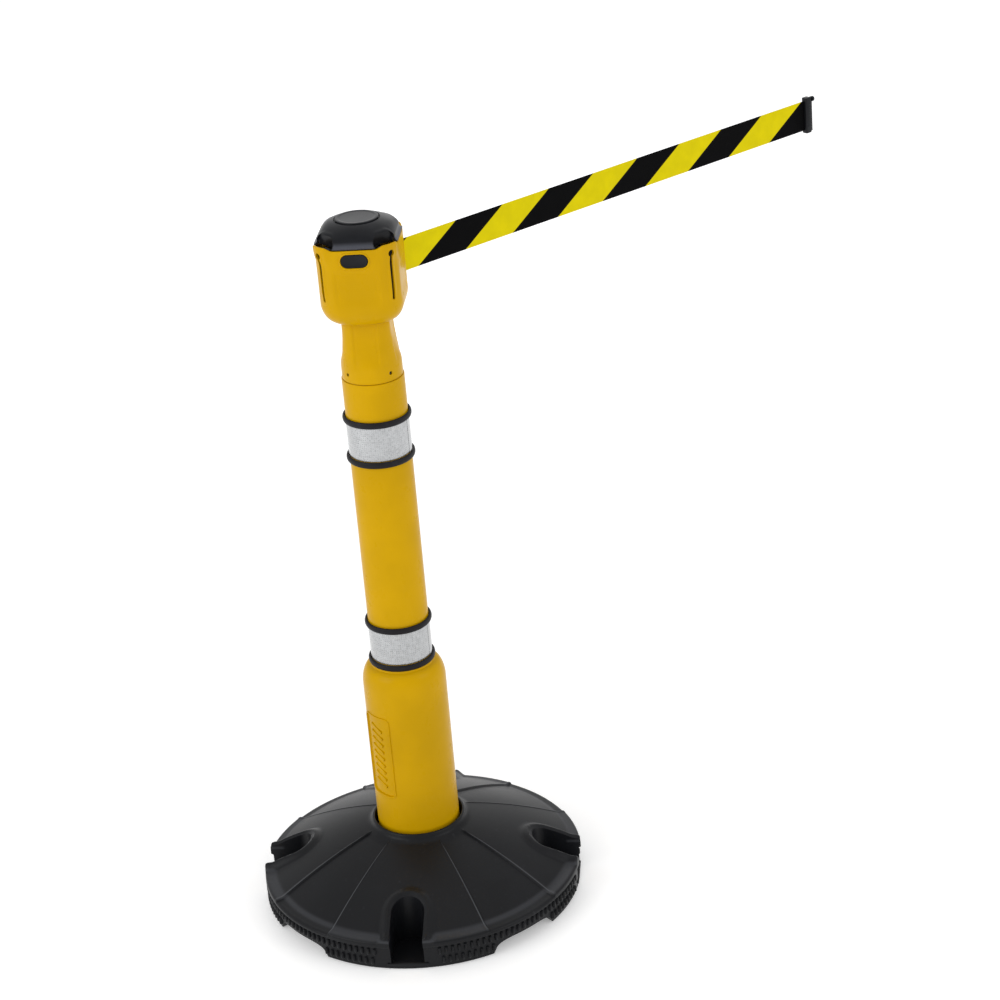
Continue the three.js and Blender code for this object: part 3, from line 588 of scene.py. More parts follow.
def combined(bm, tool, operation="DIFFERENCE"):
    """The result of a boolean between two bmeshes, as a bmesh."""
    body, cutter = loose("body", bm), loose("cutter", tool)
    change = body.modifiers.new("cut", "BOOLEAN")
    change.object, change.operation, change.solver = cutter, operation, "EXACT"
    bpy.context.view_layer.update()
    shaped = body.evaluated_get(bpy.context.evaluated_depsgraph_get())
    result = bmesh.new()
    result.from_mesh(shaped.to_mesh())
    shaped.to_mesh_clear()
    for scrap in (body, cutter):
        mesh = scrap.data
        bpy.data.objects.remove(scrap)
        bpy.data.meshes.remove(mesh)
    bmesh.ops.dissolve_degenerate(result, edges=result.edges, dist=1e-6)
    return result


def softened(bm, width, segments=2, angle=40):
    """Bevels the edges that turn more than an angle."""
    edges = [e for e in bm.edges if len(e.link_faces) == 2
             and e.calc_face_angle(0) > math.radians(angle)]
    bmesh.ops.bevel(bm, geom=edges, offset=width, offset_type="OFFSET", segments=segments,
                    profile=0.5, affect="EDGES", material=-1, clamp_overlap=True)
    return bm


def shown(name, bm, body, slot, *nodes, smooth=32):
    """A finished piece: smooth shading, its material, its body and what it stands for."""
    piece = loose(name, bm)
    piece.data.shade_smooth()
    piece.data.set_sharp_from_angle(angle=math.radians(smooth))
    piece.data.materials.append(finish_of(slot))
    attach(piece, body)
    if nodes:
        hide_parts(*nodes)
    return piece


def smoothstep(value):
    """0 below 0, 1 above 1, smooth between."""
    value = max(0.0, min(1.0, value))
    return value * value * (3 - 2 * value)


def off_axis(angle):
    """Angle from the nearest of the four main directions, with its sign."""
    return (angle + math.pi / 4) % (math.pi / 2) - math.pi / 4


def square_radius(angle, half, reach):
    """Radius of a square with round corners. Its corners lie on the X and Y axes."""
    corner = (half * math.sqrt(2) - reach) / (math.sqrt(2) - 1)
    fold = abs(off_axis(angle))
    from_face = math.pi / 4 - fold
    if half * math.tan(from_face) <= half - corner:
        return half / math.cos(from_face)
    centre = (half - corner) * math.sqrt(2)
    return centre * math.cos(fold) + math.sqrt(corner ** 2 - (centre * math.sin(fold)) ** 2)


def squared(bm, half, reach, share):
    """Turns a round shape, drawn at its corner reach, square by share(radius, height)."""
    for vert in bm.verts:
        radius = math.hypot(vert.co.x, vert.co.y)
        if radius < 1e-6:
            continue
        full = square_radius(math.atan2(vert.co.y, vert.co.x), half, reach) / reach
        scale = 1 + (full - 1) * share(radius, vert.co.z)
        vert.co.x *= scale
        vert.co.y *= scale
    return bm


def from_notch(x, y, sizes):
    """Signed distance from a point to the outline of the nearest hand notch."""
    angle = math.atan2(y, x)
    away = (angle % (math.pi / 2)) - math.pi / 4
    radius = math.hypot(x, y)
    out, side = radius * math.cos(away), abs(radius * math.sin(away))
    half = sizes.notch_width / 2
    centre = BASE.radius - sizes.notch_reach + half
    return (side if out > centre else math.hypot(out - centre, side)) - half


def notch_outline(sizes, grow=0.0, steps=24):
    """A hand notch seen from above, running out past the rim along X."""
    half = sizes.notch_width / 2 + grow
    centre = BASE.radius - sizes.notch_reach + sizes.notch_width / 2
    far = BASE.radius + 0.02
    end = [(centre - half * math.sin(a), half * math.cos(a))
           for a in (math.pi * i / steps for i in range(steps + 1))]
    return [(far, half), *end, (far, -half)]


# ------------------------------------------------------------------ pieces
def dome_height(radius, sizes):
    share = (DOME_EDGE - radius) / (DOME_EDGE - sizes.crown)
    rise = (sizes.crown_height - sizes.band) * share
    return sizes.band + rise + 4 * sizes.bulge * share * (1 - share)


def base_profile(sizes):
    """Half of the base's section, from the middle of its underside to the socket's floor."""
    rows = 46
    foot, lip = BASE.radius - 0.0048, sizes.mouth + 0.004
    bore = SLEEVE.radius + 0.0005
    side = rounded([
        (0, 0), (foot, 0, 0.002), (foot + 0.0004, 0.0375), (BASE.radius - 0.0008, 0.0395, 0.001),
        (BASE.radius - 0.0010, 0.0478, 0.006), (DOME_EDGE, dome_height(DOME_EDGE, sizes) + 0.0005),
    ], steps=6)
    radii = [DOME_EDGE + (sizes.crown - DOME_EDGE) * row / rows for row in range(1, rows)]
    dome = [(radius, dome_height(radius, sizes)) for radius in radii]
    collar = rounded([
        (sizes.crown, sizes.crown_height), (lip + 0.003, BASE.top - 0.0075, 0.003),
        (lip, BASE.top, 0.0025), (sizes.mouth, BASE.top, 0.0025),
        (sizes.mouth, BASE.top - 0.034, 0.002), (bore, BASE.top - 0.036), (bore, sizes.floor),
        (0, sizes.floor),
    ])
    return side + dome + collar


def shape_dome(bm, sizes):
    """Raises the lips round the notches and steps the panels, vertex by vertex."""
    for vert in bm.verts:
        x, y, z = vert.co
        radius = math.hypot(x, y)
        if z < sizes.band - 0.009 or radius < sizes.crown:
            continue
        beyond = math.degrees(abs(off_axis(math.atan2(y, x))) - PANEL_EDGE)
        fade = smoothstep((z - sizes.band + 0.009) / 0.006)
        inner = smoothstep((radius - sizes.crown) / 0.006)
        sunk = smoothstep((-0.15 - beyond) / 0.6)
        ridge = math.exp(-(beyond / 0.38) ** 2)
        away = from_notch(x, y, sizes)
        lip = smoothstep((sizes.surround_width - away) / (sizes.surround_width * 0.72))
        round_off = smoothstep((0.005 - away) / 0.005) * 0.0030
        rim = smoothstep((radius - 0.19) / 0.05)
        rise = lip * (sizes.surround * (0.75 + 0.45 * rim) - round_off)
        vert.co.z += fade * (inner * (0.0014 * ridge - sizes.panel_step * sunk) + rise)


def under_cores(sizes):
    """The cored-out underside: a ring, less the ribs and the notch walls."""
    hub, outer, wall, steps = sizes.mouth + 0.016, BASE.radius - 0.019, 0.016, 4
    radii = [outer - 0.006 + (hub - outer + 0.006) * i / steps for i in range(steps + 1)]
    roof = [(radius, dome_height(radius, sizes) - wall) for radius in radii]
    ring = spun([(hub, -0.001), (outer, -0.001), (outer, sizes.band - wall), *roof], 96, closed=True)

    def rib():
        return pushed([(hub - 0.01, -0.006), (BASE.radius, -0.006), (BASE.radius, 0.006),
                       (hub - 0.01, 0.006)], -0.002, BASE.top)

    ring = combined(ring, ringed(rib, RIB_ANGLES))
    return combined(ring, ringed(lambda: pushed(notch_outline(sizes, 0.012), -0.002, BASE.top), FACES))


def arch_outline(sizes):
    """A shallow cut in the bottom edge, seen from outside."""
    half = BASE.radius * math.sin(ARCH_EDGE)
    top = sizes.arch_height
    return rounded([(-half - 0.002, -0.002), (half + 0.002, -0.002), (half, 0.0),
                    (half * 0.82, top, 0.03), (-half * 0.82, top, 0.03), (-half, 0.0)],
                   closed=True, steps=10)


class STANCHION_OT_base(bpy.types.Operator):
    """Build the heavy base with its notches, lips, panels and cored underside"""
    bl_idname = "stanchion.base"
    bl_label = "Base"

    def execute(self, context):
        sizes = context.scene.stanchion_base
        body = spun(base_profile(sizes), 720)
        shape_dome(body, sizes)
        notches = ringed(lambda: pushed(notch_outline(sizes), sizes.notch_floor, 0.16), FACES)
        body = combined(body, notches)
        body = combined(body, under_cores(sizes))
        arches = ringed(lambda: outward(arch_outline(sizes), 0.19, 0.27), QUARTERS)
        body = combined(body, arches)
        shown("base_moulding", body, "base", "base_rubber", "base", smooth=28)
        return {"FINISHED"}


class STANCHION_OT_studs(bpy.types.Operator):
    """Stand two rows of small studs round the side of the base"""
    bl_idname = "stanchion.studs"
    bl_label = "Side studs"

    def execute(self, context):
        sizes = context.scene.stanchion_base
        count = int(math.tau * BASE.radius / sizes.stud_pitch)
        arch = ARCH_EDGE - math.radians(0.75)
        clear = math.asin((sizes.notch_width / 2 + sizes.surround_width + 0.004) / BASE.radius)
        studs = []
        for row, low in enumerate(STUD_ROWS):
            for i in range(count):
                angle = math.tau * (i + 0.5 * row) / count
                off_arch = abs(off_axis(angle))
                if math.pi / 4 - off_arch < clear or (row == 0 and off_arch < arch):
                    continue
                stud = moved(self.stud(sizes), BASE.radius - 0.0034, 0, low + sizes.stud_height / 2)
                studs.append(turned(stud, angle))
        shown("base_studs", merged(*studs), "base", "base_rubber", smooth=40)
        shown("notch_sills", ringed(lambda: self.sill(sizes), FACES), "base", "base_rubber")
        return {"FINISHED"}

    def stud(self, sizes):
        """A small block that narrows outwards."""
        block = brick(0.0054, sizes.stud_width, sizes.stud_height)
        outer = [vert for vert in block.verts if vert.co.x > 0]
        bmesh.ops.scale(block, verts=outer, vec=(1, 0.6, 0.75))
        return softened(block, 0.0008, 1, 30)

    def sill(self, sizes):
        """The fine ledge along the front of a notch's floor."""
        bar = brick(0.008, sizes.notch_width + 0.012, 0.004)
        return softened(moved(bar, BASE.radius - 0.0085, 0, sizes.notch_floor), 0.001)


class STANCHION_OT_sleeve(bpy.types.Operator):
    """Build the wide lower sleeve with its round shoulder and label recess"""
    bl_idname = "stanchion.sleeve"
    bl_label = "Lower sleeve"

    def execute(self, context):
        sizes = context.scene.stanchion_post
        radius, top = SLEEVE.radius, SLEEVE.top
        neck, rise, bore = sizes.shoulder_neck, sizes.shoulder, TUBE.radius + 0.0003
        inside = radius - sizes.sleeve_wall
        shoulder = [(neck + (radius - neck) * math.cos(a), top - 0.004 - rise + rise * math.sin(a))
                    for a in (math.pi / 2 * i / 12 for i in range(12))]
        profile = [(radius - 0.0015, SLEEVE.bottom), (radius, SLEEVE.bottom + 0.0015), *shoulder,
                   (neck, top - 0.003), (neck - 0.0005, top), (bore, top), (bore, top - 0.012),
                   (inside, top - 0.045), (inside, SLEEVE.bottom)]
        middle = sizes.label_middle
        panel = outward(self.label(sizes, 6), -0.08, -0.05, middle)
        near, far, tall = radius - 0.0012, radius + 0.004, 0.09
        skin = spun([(near, middle - tall), (far, middle - tall), (far, middle + tall),
                     (near, middle + tall)], 160, closed=True)
        body = combined(spun(profile, 160, closed=True), combined(skin, panel, "INTERSECT"))
        shown("lower_sleeve_shell", body, "post", "yellow_plastic", "lower_sleeve")
        bars = [self.bar(middle + 0.0122 * (i - 4)) for i in range(9)]
        shown("label_border", merged(self.border(sizes), *bars), "post", "yellow_plastic", smooth=60)
        return {"FINISHED"}

    def label(self, sizes, steps):
        """The recess's outline: an upright panel with round corners."""
        half, tall, corner = sizes.label_half, sizes.label_tall, 0.009
        return rounded([(-half, -tall, corner), (half, -tall, corner), (half, tall, corner),
                        (-half, tall, corner)], closed=True, steps=steps)

    def border(self, sizes):
        """A fine raised line round the recess, bent to the sleeve."""
        outline = self.label(sizes, 8)
        dense = []
        for (ax, ay), (bx, by) in zip(outline, outline[1:] + outline[:1]):
            pieces = max(1, int(math.hypot(bx - ax, by - ay) / 0.004))
            dense += [(ax + (bx - ax) * i / pieces, ay + (by - ay) * i / pieces) for i in range(pieces)]
        rings = []
        for grow, lift in ((0.0, -0.0014), (0.0008, 0.0016), (0.0022, 0.0016), (0.0031, -0.0014)):
            wide, high, out = 1 + grow / sizes.label_half, 1 + grow / sizes.label_tall, SLEEVE.radius + lift
            turns = [(math.pi + y * wide / SLEEVE.radius, sizes.label_middle + z * high) for y, z in dense]
            rings.append([(out * math.cos(a), out * math.sin(a), z) for a, z in turns])
        return laced(rings, closed=True)

    def bar(self, height):
        """One of the plain slanted bars in the recess."""
        bar = turned(brick(0.003, 0.026, 0.0042), math.radians(24), "X")
        return softened(moved(bar, 0.0014 - SLEEVE.radius, 0, height), 0.0008, 2, 30)


class STANCHION_OT_tube(bpy.types.Operator):
    """Build the post's tube with a softened top edge"""
    bl_idname = "stanchion.tube"
    bl_label = "Post tube"

    def execute(self, context):
        radius = TUBE.radius
        inside = radius - context.scene.stanchion_post.tube_wall
        profile = rounded([(inside, TUBE.bottom), (radius, TUBE.bottom), (radius, TUBE.top, 0.001),
                           (inside, TUBE.top)], closed=True)
        shown("post_tube_shell", spun(profile, 128, closed=True), "post", "yellow_plastic", "post_tube")
        return {"FINISHED"}


class STANCHION_OT_bands(bpy.types.Operator):
    """Build the rubber rings and the reflective bands between them"""
    bl_idname = "stanchion.bands"
    bl_label = "Rings and bands"

    def execute(self, context):
        for i in range(1, 5):
            self.ring(f"rubber_ring_{i}")
        for i in range(1, 3):
            self.band(f"reflective_band_{i}")
        return {"FINISHED"}

    def ring(self, node):
        """A rubber ring of oval section, snug on the tube."""
        at = Place(node)
        deep, tall = at.radius - TUBE.radius - 0.0001, (at.top - at.bottom) / 2
        section = [(at.radius - deep / 2 + deep / 2 * math.cos(a), at.middle + tall * math.sin(a))
                   for a in (math.tau * k / 20 for k in range(20))]
        shown(f"{node}_soft", spun(section, 128, closed=True), "post", "ring_rubber", node, smooth=60)

    def band(self, node):
        """A sheet round the tube, with its free end lapped over it."""
        at = Place(node)
        inner, outer = at.radius - 0.0005, at.radius + 0.0004
        sheet = spun(rounded([(inner, at.bottom), (at.radius, at.bottom, 0.0002),
                              (at.radius, at.top, 0.0002), (inner, at.top)], closed=True), 128, closed=True)
        lap = spun([(at.radius, at.bottom), (outer, at.bottom), (outer, at.top), (at.radius, at.top)],
                   8, closed=True, sweep=math.radians(14))
        bmesh.ops.holes_fill(lap, edges=lap.edges, sides=8)
        bmesh.ops.recalc_face_normals(lap, faces=lap.faces)
        whole = merged(sheet, turned(lap, math.radians(-62)))
        shown(f"{node}_sheet", whole, "post", "reflective_sheet", node)


class STANCHION_OT_neck(bpy.types.Operator):
    """Build the tapered neck with its flat panels and the four screws"""
    bl_idname = "stanchion.neck"
    bl_label = "Neck"

    def execute(self, context):
        sizes = context.scene.stanchion_head
        foot = context.scene.stanchion_post.neck_foot
        low, high, rows = NECK.bottom, NECK.top, 40
        outer = []
        for i in range(rows + 1):
            z = low + (high - low) * i / rows
            taper = smoothstep((z - low - 0.018) / 0.062)
            outer.append((foot + (sizes.neck_reach - foot) * taper, z))
        outer[0] = (foot - 0.0008, low)
        outer.insert(1, (foot, low + 0.0009))
        bolt, wide, narrow = 0.0053, foot - 0.005, sizes.neck_reach - 0.009
        inner = [(wide, low), (wide, low + 0.05), (narrow, low + 0.07), (narrow, high - 0.006),
                 (bolt, high - 0.006), (bolt, high)]
        body = spun(outer + inner[::-1], 192, closed=True)

        def share(radius, height):
            return smoothstep((height - low - 0.018) / 0.06) * smoothstep((radius - 0.02) / 0.012)

        squared(body, sizes.neck_half, sizes.neck_reach, share)
        self.panels(body, sizes.neck_half, context.scene.stanchion_post.neck_panel)
        screw = Place("neck_screw_1")
        body = combined(body, ringed(lambda: self.drill(screw), QUARTERS))
        shown("neck_shell", body, "post", "yellow_plastic", "neck")
        for i, angle in enumerate(QUARTERS):
            node = f"neck_screw_{i + 1}"
            shown(f"{node}_head", turned(self.screw(screw), angle), "post", "steel", node, smooth=40)
        return {"FINISHED"}

    def panels(self, body, half, depth):
        """Sinks a shallow flat panel into each of the neck's four faces."""
        for vert in body.verts:
            x, y, z = vert.co
            radius = math.hypot(x, y)
            if radius < half * 0.96:
                continue
            side = abs(radius * math.sin(math.atan2(y, x) % (math.pi / 2) - math.pi / 4))
            sunk = smoothstep((0.0200 - side) / 0.0030) * smoothstep((z - NECK.bottom - 0.022) / 0.02)
            vert.co -= Vector((x, y, 0)).normalized() * depth * sunk

    def drill(self, place):
        """The screw's sunk hole, along X."""
        radius = place.radius + 0.0002
        hole = turned(spun([(0, 0), (radius, 0), (radius, 0.03), (0, 0.03)], 32), math.pi / 2, "Y")
        return moved(hole, place.high.x - 0.0022, 0, place.middle)

    def screw(self, place):
        """A cheese-head screw with a socket in its head, along X."""
        radius, depth = place.radius, place.high.x - place.low.x
        profile = rounded([(0, 0), (radius * 0.55, 0), (radius * 0.55, depth - 0.0024),
                           (radius, depth - 0.0022), (radius, depth - 0.0008, 0.0006),
                           (radius * 0.5, depth, 0.0008), (radius * 0.4, depth - 0.0003),
                           (radius * 0.38, depth - 0.0014), (0, depth - 0.0014)])
        return moved(turned(spun(profile, 24), math.pi / 2, "Y"), place.low.x, 0, place.middle)


def tab_rise(sizes, angle, radius):
    """How far the rim stands up over a slot at this angle."""
    return sizes.tab * smoothstep((0.0205 - abs(off_axis(angle)) * radius) / 0.011)


def stadium(grow, half=0.020, corner=0.010, steps=14):
    """The button's oblong outline, sideways and up, grown by some distance."""
    right = [(half - corner + (corner + grow) * math.sin(a), -(corner + grow) * math.cos(a))
             for a in (math.pi * i / steps for i in range(steps + 1))]
    return right + [(-x, -y) for x, y in right]


def button_rings(face, rows):
    """Rings of the button's outline at (growth, distance from a face plane)."""
    return [[(face + out, x, BUTTON.middle + y) for x, y in stadium(grow)] for grow, out in rows]


class STANCHION_OT_head(bpy.types.Operator):
    """Build the head: bowl, rounded-square wall, slots, keyholes and button frame"""
    bl_idname = "stanchion.head"
    bl_label = "Head"

    def execute(self, context):
        sizes = context.scene.stanchion_head
        low, reach, start = HOUSING.bottom, sizes.reach, sizes.neck_reach
        bowl = [(start + (reach - start) * math.sin(a), low + sizes.bowl * (1 - math.cos(a)))
                for a in (math.pi / 2 * i / 14 for i in range(15))]
        wall_rows = [(reach, low + sizes.bowl + (sizes.rim - sizes.bowl) * i / 24) for i in range(1, 25)]
        outer = [(0.0055, low), *bowl, *wall_rows]
        inner_reach = reach - sizes.wall
        rim = low + sizes.rim
        inner = [(inner_reach, rim), (inner_reach, low + sizes.bowl + 0.002),
                 (start + 0.012, low + 0.010), (start, low + 0.006), (0.0055, low + 0.006)]
        body = spun(rounded([*outer[:-1], (*outer[-1], 0.0008), (*inner[0], 0.0008), *inner[1:]],
                            closed=True), 384, closed=True)

        def share(radius, height):
            return smoothstep((radius - start * 0.6) / (inner_reach - start * 0.6))

        squared(body, sizes.half, reach, share)
        self.relief(body, sizes)
        body = combined(body, self.cutters(sizes))
        shown("head_shell", body, "head", "yellow_plastic", "head_housing", smooth=34)
        self.button_frame(sizes)
        self.pockets(sizes)
        return {"FINISHED"}

    def relief(self, body, sizes):
        """Lifts the rim over the slots, sinks the faces and rolls the slots' edges."""
        low = HOUSING.bottom
        for vert in body.verts:
            x, y, z = vert.co
            radius, angle = math.hypot(x, y), math.atan2(y, x)
            up = smoothstep((z - low - sizes.rim + 0.012) / 0.011)
            if up > 0:
                vert.co.z += up * tab_rise(sizes, angle, radius)
            if radius < sizes.half * 0.97 or z < low + 0.02:
                continue
            side = radius * math.sin(abs(angle % (math.pi / 2) - math.pi / 4))
            tall = smoothstep((z - low - 0.036) / 0.02) * smoothstep((low + sizes.rim - 0.004 - z) / 0.006)
            below = smoothstep((z - low - 0.030) / 0.02) * smoothstep((low + 0.0905 - z) / 0.006)
            panel = sizes.recess * smoothstep((0.0350 - side) / 0.006) * below
            aside = abs(radius * math.sin(off_axis(angle)))
            bead = sizes.bead * smoothstep((0.0075 - aside) / 0.0032) * tall
            flare = smoothstep((z - low - sizes.rim + 0.026) / 0.024) * smoothstep((0.022 - aside) / 0.012)
            plain = smoothstep((math.cos(angle) - 0.75) / 0.15)
            lift = (bead + sizes.flare * flare) * (1 - plain)
            vert.co += Vector((x, y, 0)).normalized() * (lift - panel)

    def cutters(self, sizes):
        low, far = HOUSING.bottom, sizes.reach + 0.01
        half = sizes.slot_width / 2

        def slot():
            outline = rounded([(-half, sizes.slot_bottom, 0.002), (half, sizes.slot_bottom, 0.002),
                               (half, sizes.keyhole_height), (-half, sizes.keyhole_height)], closed=True)
            return outward(outline, 0.06, far, low)

        def keyhole():
            circle = [(sizes.keyhole * math.cos(a), sizes.keyhole_height + sizes.keyhole * math.sin(a))
                      for a in (math.tau * i / 28 for i in range(28))]
            return outward(circle, 0.06, far, low)

        slots = combined(ringed(slot, QUARTERS), ringed(keyhole, QUARTERS), "UNION")
        button = outward(stadium(0.0004), 0.045, 0.08, BUTTON.middle)
        return merged(slots, turned(button, BUTTON_FACE))

    def button_frame(self, sizes):
        """The soft raised lip round the button."""
        lip = laced(button_rings(sizes.half + 0.0001, (
            (0.0004, -0.002), (0.0004, 0.0004), (0.0010, 0.0011), (0.0019, 0.0011), (0.0030, 0.0003),
            (0.0036, -0.0012))), closed=True)
        shown("button_frame", turned(lip, BUTTON_FACE), "head", "yellow_plastic", smooth=60)

    def pockets(self, sizes):
        """The closed channel behind each slot, in the dark grey inner plastic as painted shade inside the
        slot.
        """
        tall = sizes.keyhole_height + sizes.keyhole - sizes.slot_bottom + 0.004

        def channel():
            box = brick(0.0125, 0.0135, tall)
            open_side = [face for face in box.faces if face.calc_center_median().x > 0.006]
            bmesh.ops.delete(box, geom=open_side, context="FACES_ONLY")
            moved(box, sizes.reach - sizes.wall - 0.0068, 0,
                  HOUSING.bottom + sizes.slot_bottom + tall / 2 - 0.002)
            bmesh.ops.recalc_face_normals(box, faces=box.faces)
            bmesh.ops.solidify(box, geom=box.faces, thickness=0.0012)
            return box

        # painted shade: the channels take the dark grey inner plastic so the slots read dark
        shown("receiver_channels", ringed(channel, QUARTERS[1:]), "head", "inner_plastic")


class STANCHION_OT_cap(bpy.types.Operator):
    """Build the black cap with its four arches, and the raised disc on top"""
    bl_idname = "stanchion.cap"
    bl_label = "Cap"

    def execute(self, context):
        sizes = context.scene.stanchion_head
        edge = sizes.reach + 0.0002
        low, disc = CAP.bottom, DISC.radius
        rows, skirt, top, cove = 22, sizes.cap_skirt, CAP.top, sizes.cove
        crown_start, crown_end = edge - cove, disc + 0.0025
        full = crown_start * 1.08

        def bow(radius):
            return math.sqrt(1 - (radius / full) ** 2)

        lift = (top - low - skirt) / (bow(crown_end) - bow(crown_start))
        dome = [(r, low + skirt + lift * (bow(r) - bow(crown_start)))
                for r in (crown_start + (crown_end - crown_start) * i / rows for i in range(rows + 1))]
        scoop = [(edge - cove * math.sin(a), low + 0.0012 + (skirt - 0.0012) * (1 - math.cos(a)))
                 for a in (math.pi / 2 * i / 8 for i in range(8))]
        outer = rounded([(edge - 0.0015, low), *scoop, (*dome[0], 0.0012), *dome[1:]])
        groove = [(disc + 0.0014, top - 0.0008), (disc + 0.0006, top - 0.002), (0.0045, top - 0.002)]
        under = [(0.0045, top - 0.006), (disc, top - 0.006), (edge - 0.012, low + skirt),
                 (edge - 0.006, low)]
        body = spun(outer + groove + under, 256, closed=True)

        def share(radius, height):
            return smoothstep((radius - 0.034) / (edge - 0.034))

        squared(body, sizes.half, sizes.reach, share)
        self.hoods(body)
        half, tall = sizes.notch_width / 2, sizes.notch_height

        def arch():
            outline = rounded([(-half, -0.001), (half, -0.001), (half - 0.002, tall, 0.013),
                               (-half + 0.002, tall, 0.013)], closed=True, steps=8)
            return outward(outline, edge - 0.016, edge + 0.01, low)

        body = combined(body, ringed(arch, QUARTERS))
        shown("cap_shell", body, "head", "gloss_black", "head_cap", smooth=34)
        core = squared(spun([(0, low), *outer, (0, top)], 256), sizes.half, sizes.reach, share)
        self.backs(sizes, edge, low, core)
        disc_profile = rounded([
            (0, DISC.bottom), (disc, DISC.bottom), (disc, DISC.top - 0.0004, 0.001),
            (disc - 0.0035, DISC.top, 0.001), (disc - 0.0065, DISC.top - 0.0007, 0.001),
            (0, DISC.top - 0.0012)])
        shown("cap_disc_dished", spun(disc_profile, 128), "head", "gloss_black", "cap_disc")
        return {"FINISHED"}

    def hoods(self, body):
        """A soft swelling over each arch."""
        for vert in body.verts:
            x, y, z = vert.co
            radius, angle = math.hypot(x, y), math.atan2(y, x)
            if radius < 0.045:
                continue
            side, high = radius * math.sin(abs(off_axis(angle))), z - CAP.bottom
            edge = math.hypot(max(0.0, side - 0.006), max(0.0, high - 0.005)) - 0.0115
            swell = 0.0011 * math.exp(-((edge - 0.0015) / 0.0022) ** 2)
            vert.co.z += swell * smoothstep((high - 0.006) / 0.006)

    def backs(self, sizes, edge, low, core):
        """The dark wall that closes each arch behind, kept under the cap's top."""
        def wall():
            plate = brick(0.0015, sizes.notch_width + 0.001, sizes.notch_height)
            return softened(moved(plate, edge - 0.0165, 0, low + sizes.notch_height / 2), 0.0004)

        moved(core, 0, 0, -0.0007)
        walls = combined(ringed(wall, QUARTERS), core, "INTERSECT")
        shown("cap_arch_backs", walls, "head", "gloss_black")


class STANCHION_OT_button(bpy.types.Operator):
    """Build the oblong lock button with a dished face"""
    bl_idname = "stanchion.button"
    bl_label = "Lock button"

    def execute(self, context):
        face = context.scene.stanchion_head.half + 0.0004
        bm = laced(button_rings(face, (
            (0.0, -0.0065), (0.0, -0.0009), (-0.0003, -0.0003), (-0.0009, 0.0), (-0.0020, 0.0),
            (-0.0030, -0.0004), (-0.0045, -0.0007))))
        shown("lock_button_face", turned(bm, BUTTON_FACE), "lock", "gloss_black", "lock_button", smooth=50)
        return {"FINISHED"}


class STANCHION_OT_belt(bpy.types.Operator):
    """Weave the belt from the exit to the clip, and the lead inside the head"""
    bl_idname = "stanchion.belt"
    bl_label = "Belt"

    def execute(self, context):
        head, sizes = context.scene.stanchion_head, context.scene.stanchion_belt
        start, end = head.reach - 0.004, CLIP.low.x + 0.0002
        drawn = self.strip("belt_drawn", start, end, sizes)
        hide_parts("belt")
        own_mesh(drawn)
        lead = self.strip("belt_lead", start - 0.014, start + 0.0005, sizes)
        return {"FINISHED"}

    def strip(self, name, start, end, sizes):
        """A stretch of belt between two distances along X, with its flat coordinates."""
        bm = bmesh.new()
        rows, columns = 12, max(2, int((end - start) / 0.006))
        across = [bm.verts.new((start, 0, BELT.bottom + BELT_WIDTH * i / rows)) for i in range(rows + 1)]
        edges = [bm.edges.new(pair) for pair in zip(across, across[1:])]
        for _ in range(columns):
            grown = bmesh.ops.extrude_edge_only(bm, edges=edges)["geom"]
            verts = [g for g in grown if isinstance(g, bmesh.types.BMVert)]
            bmesh.ops.translate(bm, verts=verts, vec=((end - start) / columns, 0, 0))
            edges = [g for g in grown if isinstance(g, bmesh.types.BMEdge)
                     and all(v in verts for v in g.verts)]
        uv = bm.loops.layers.uv.new("belt")
        for face in bm.faces:
            for loop in face.loops:
                loop[uv].uv = (loop.vert.co.x, loop.vert.co.z - BELT.bottom)
        bmesh.ops.recalc_face_normals(bm, faces=bm.faces)
        bmesh.ops.solidify(bm, geom=bm.faces, thickness=sizes.thickness)
        moved(bm, 0, -sum(vert.co.y for vert in bm.verts) / len(bm.verts), 0)
        for vert in bm.verts:
            near = abs(vert.co.z - BELT.middle) - (BELT_WIDTH / 2 - 0.002)
            if near > 0:
                vert.co.y *= 1 - 0.5 * near / 0.002
        return shown(name, bm, "head", "webbing", smooth=50)


class STANCHION_OT_clip(bpy.types.Operator):
    """Build the end clip: grip block, blade and knob"""
    bl_idname = "stanchion.clip"
    bl_label = "End clip"

    def execute(self, context):
        low, high = CLIP.bottom, CLIP.top
        start, wide, deep = CLIP.low.x, 0.012, 0.0055
        outline = rounded([(start, -deep, 0.003), (start + wide, -deep, 0.002),
                           (start + wide, deep, 0.002), (start, deep, 0.003)], closed=True, steps=5)
        block = softened(pushed(outline, low, high), 0.0012, 3, 50)
        ribs = []
        for i in range(9):
            rib = brick(0.0068, 2 * deep + 0.0010, 0.0016)
            moved(rib, start + wide * 0.5, 0, low + 0.012 + (high - low - 0.024) * i / 8)
            ribs.append(softened(rib, 0.0004))
        near, far, half = start + wide - 0.002, start + wide + 0.0058, 0.0017
        blade = softened(pushed([(near, -half), (far, -half), (far, half), (near, half)],
                                low + 0.001, high - 0.001), 0.0006)
        knob = spun(rounded([(0, 0), (0.0043, 0, 0.0008), (0.0043, 0.0047, 0.0014), (0, 0.0049)],
                            steps=5), 32)
        moved(turned(knob, math.pi / 2, "Y"), CLIP.high.x - 0.0049, 0, high - 0.0053)
        shown("end_clip_body", merged(block, *ribs, blade, knob), "clip", "gloss_black", "end_clip")
        return {"FINISHED"}


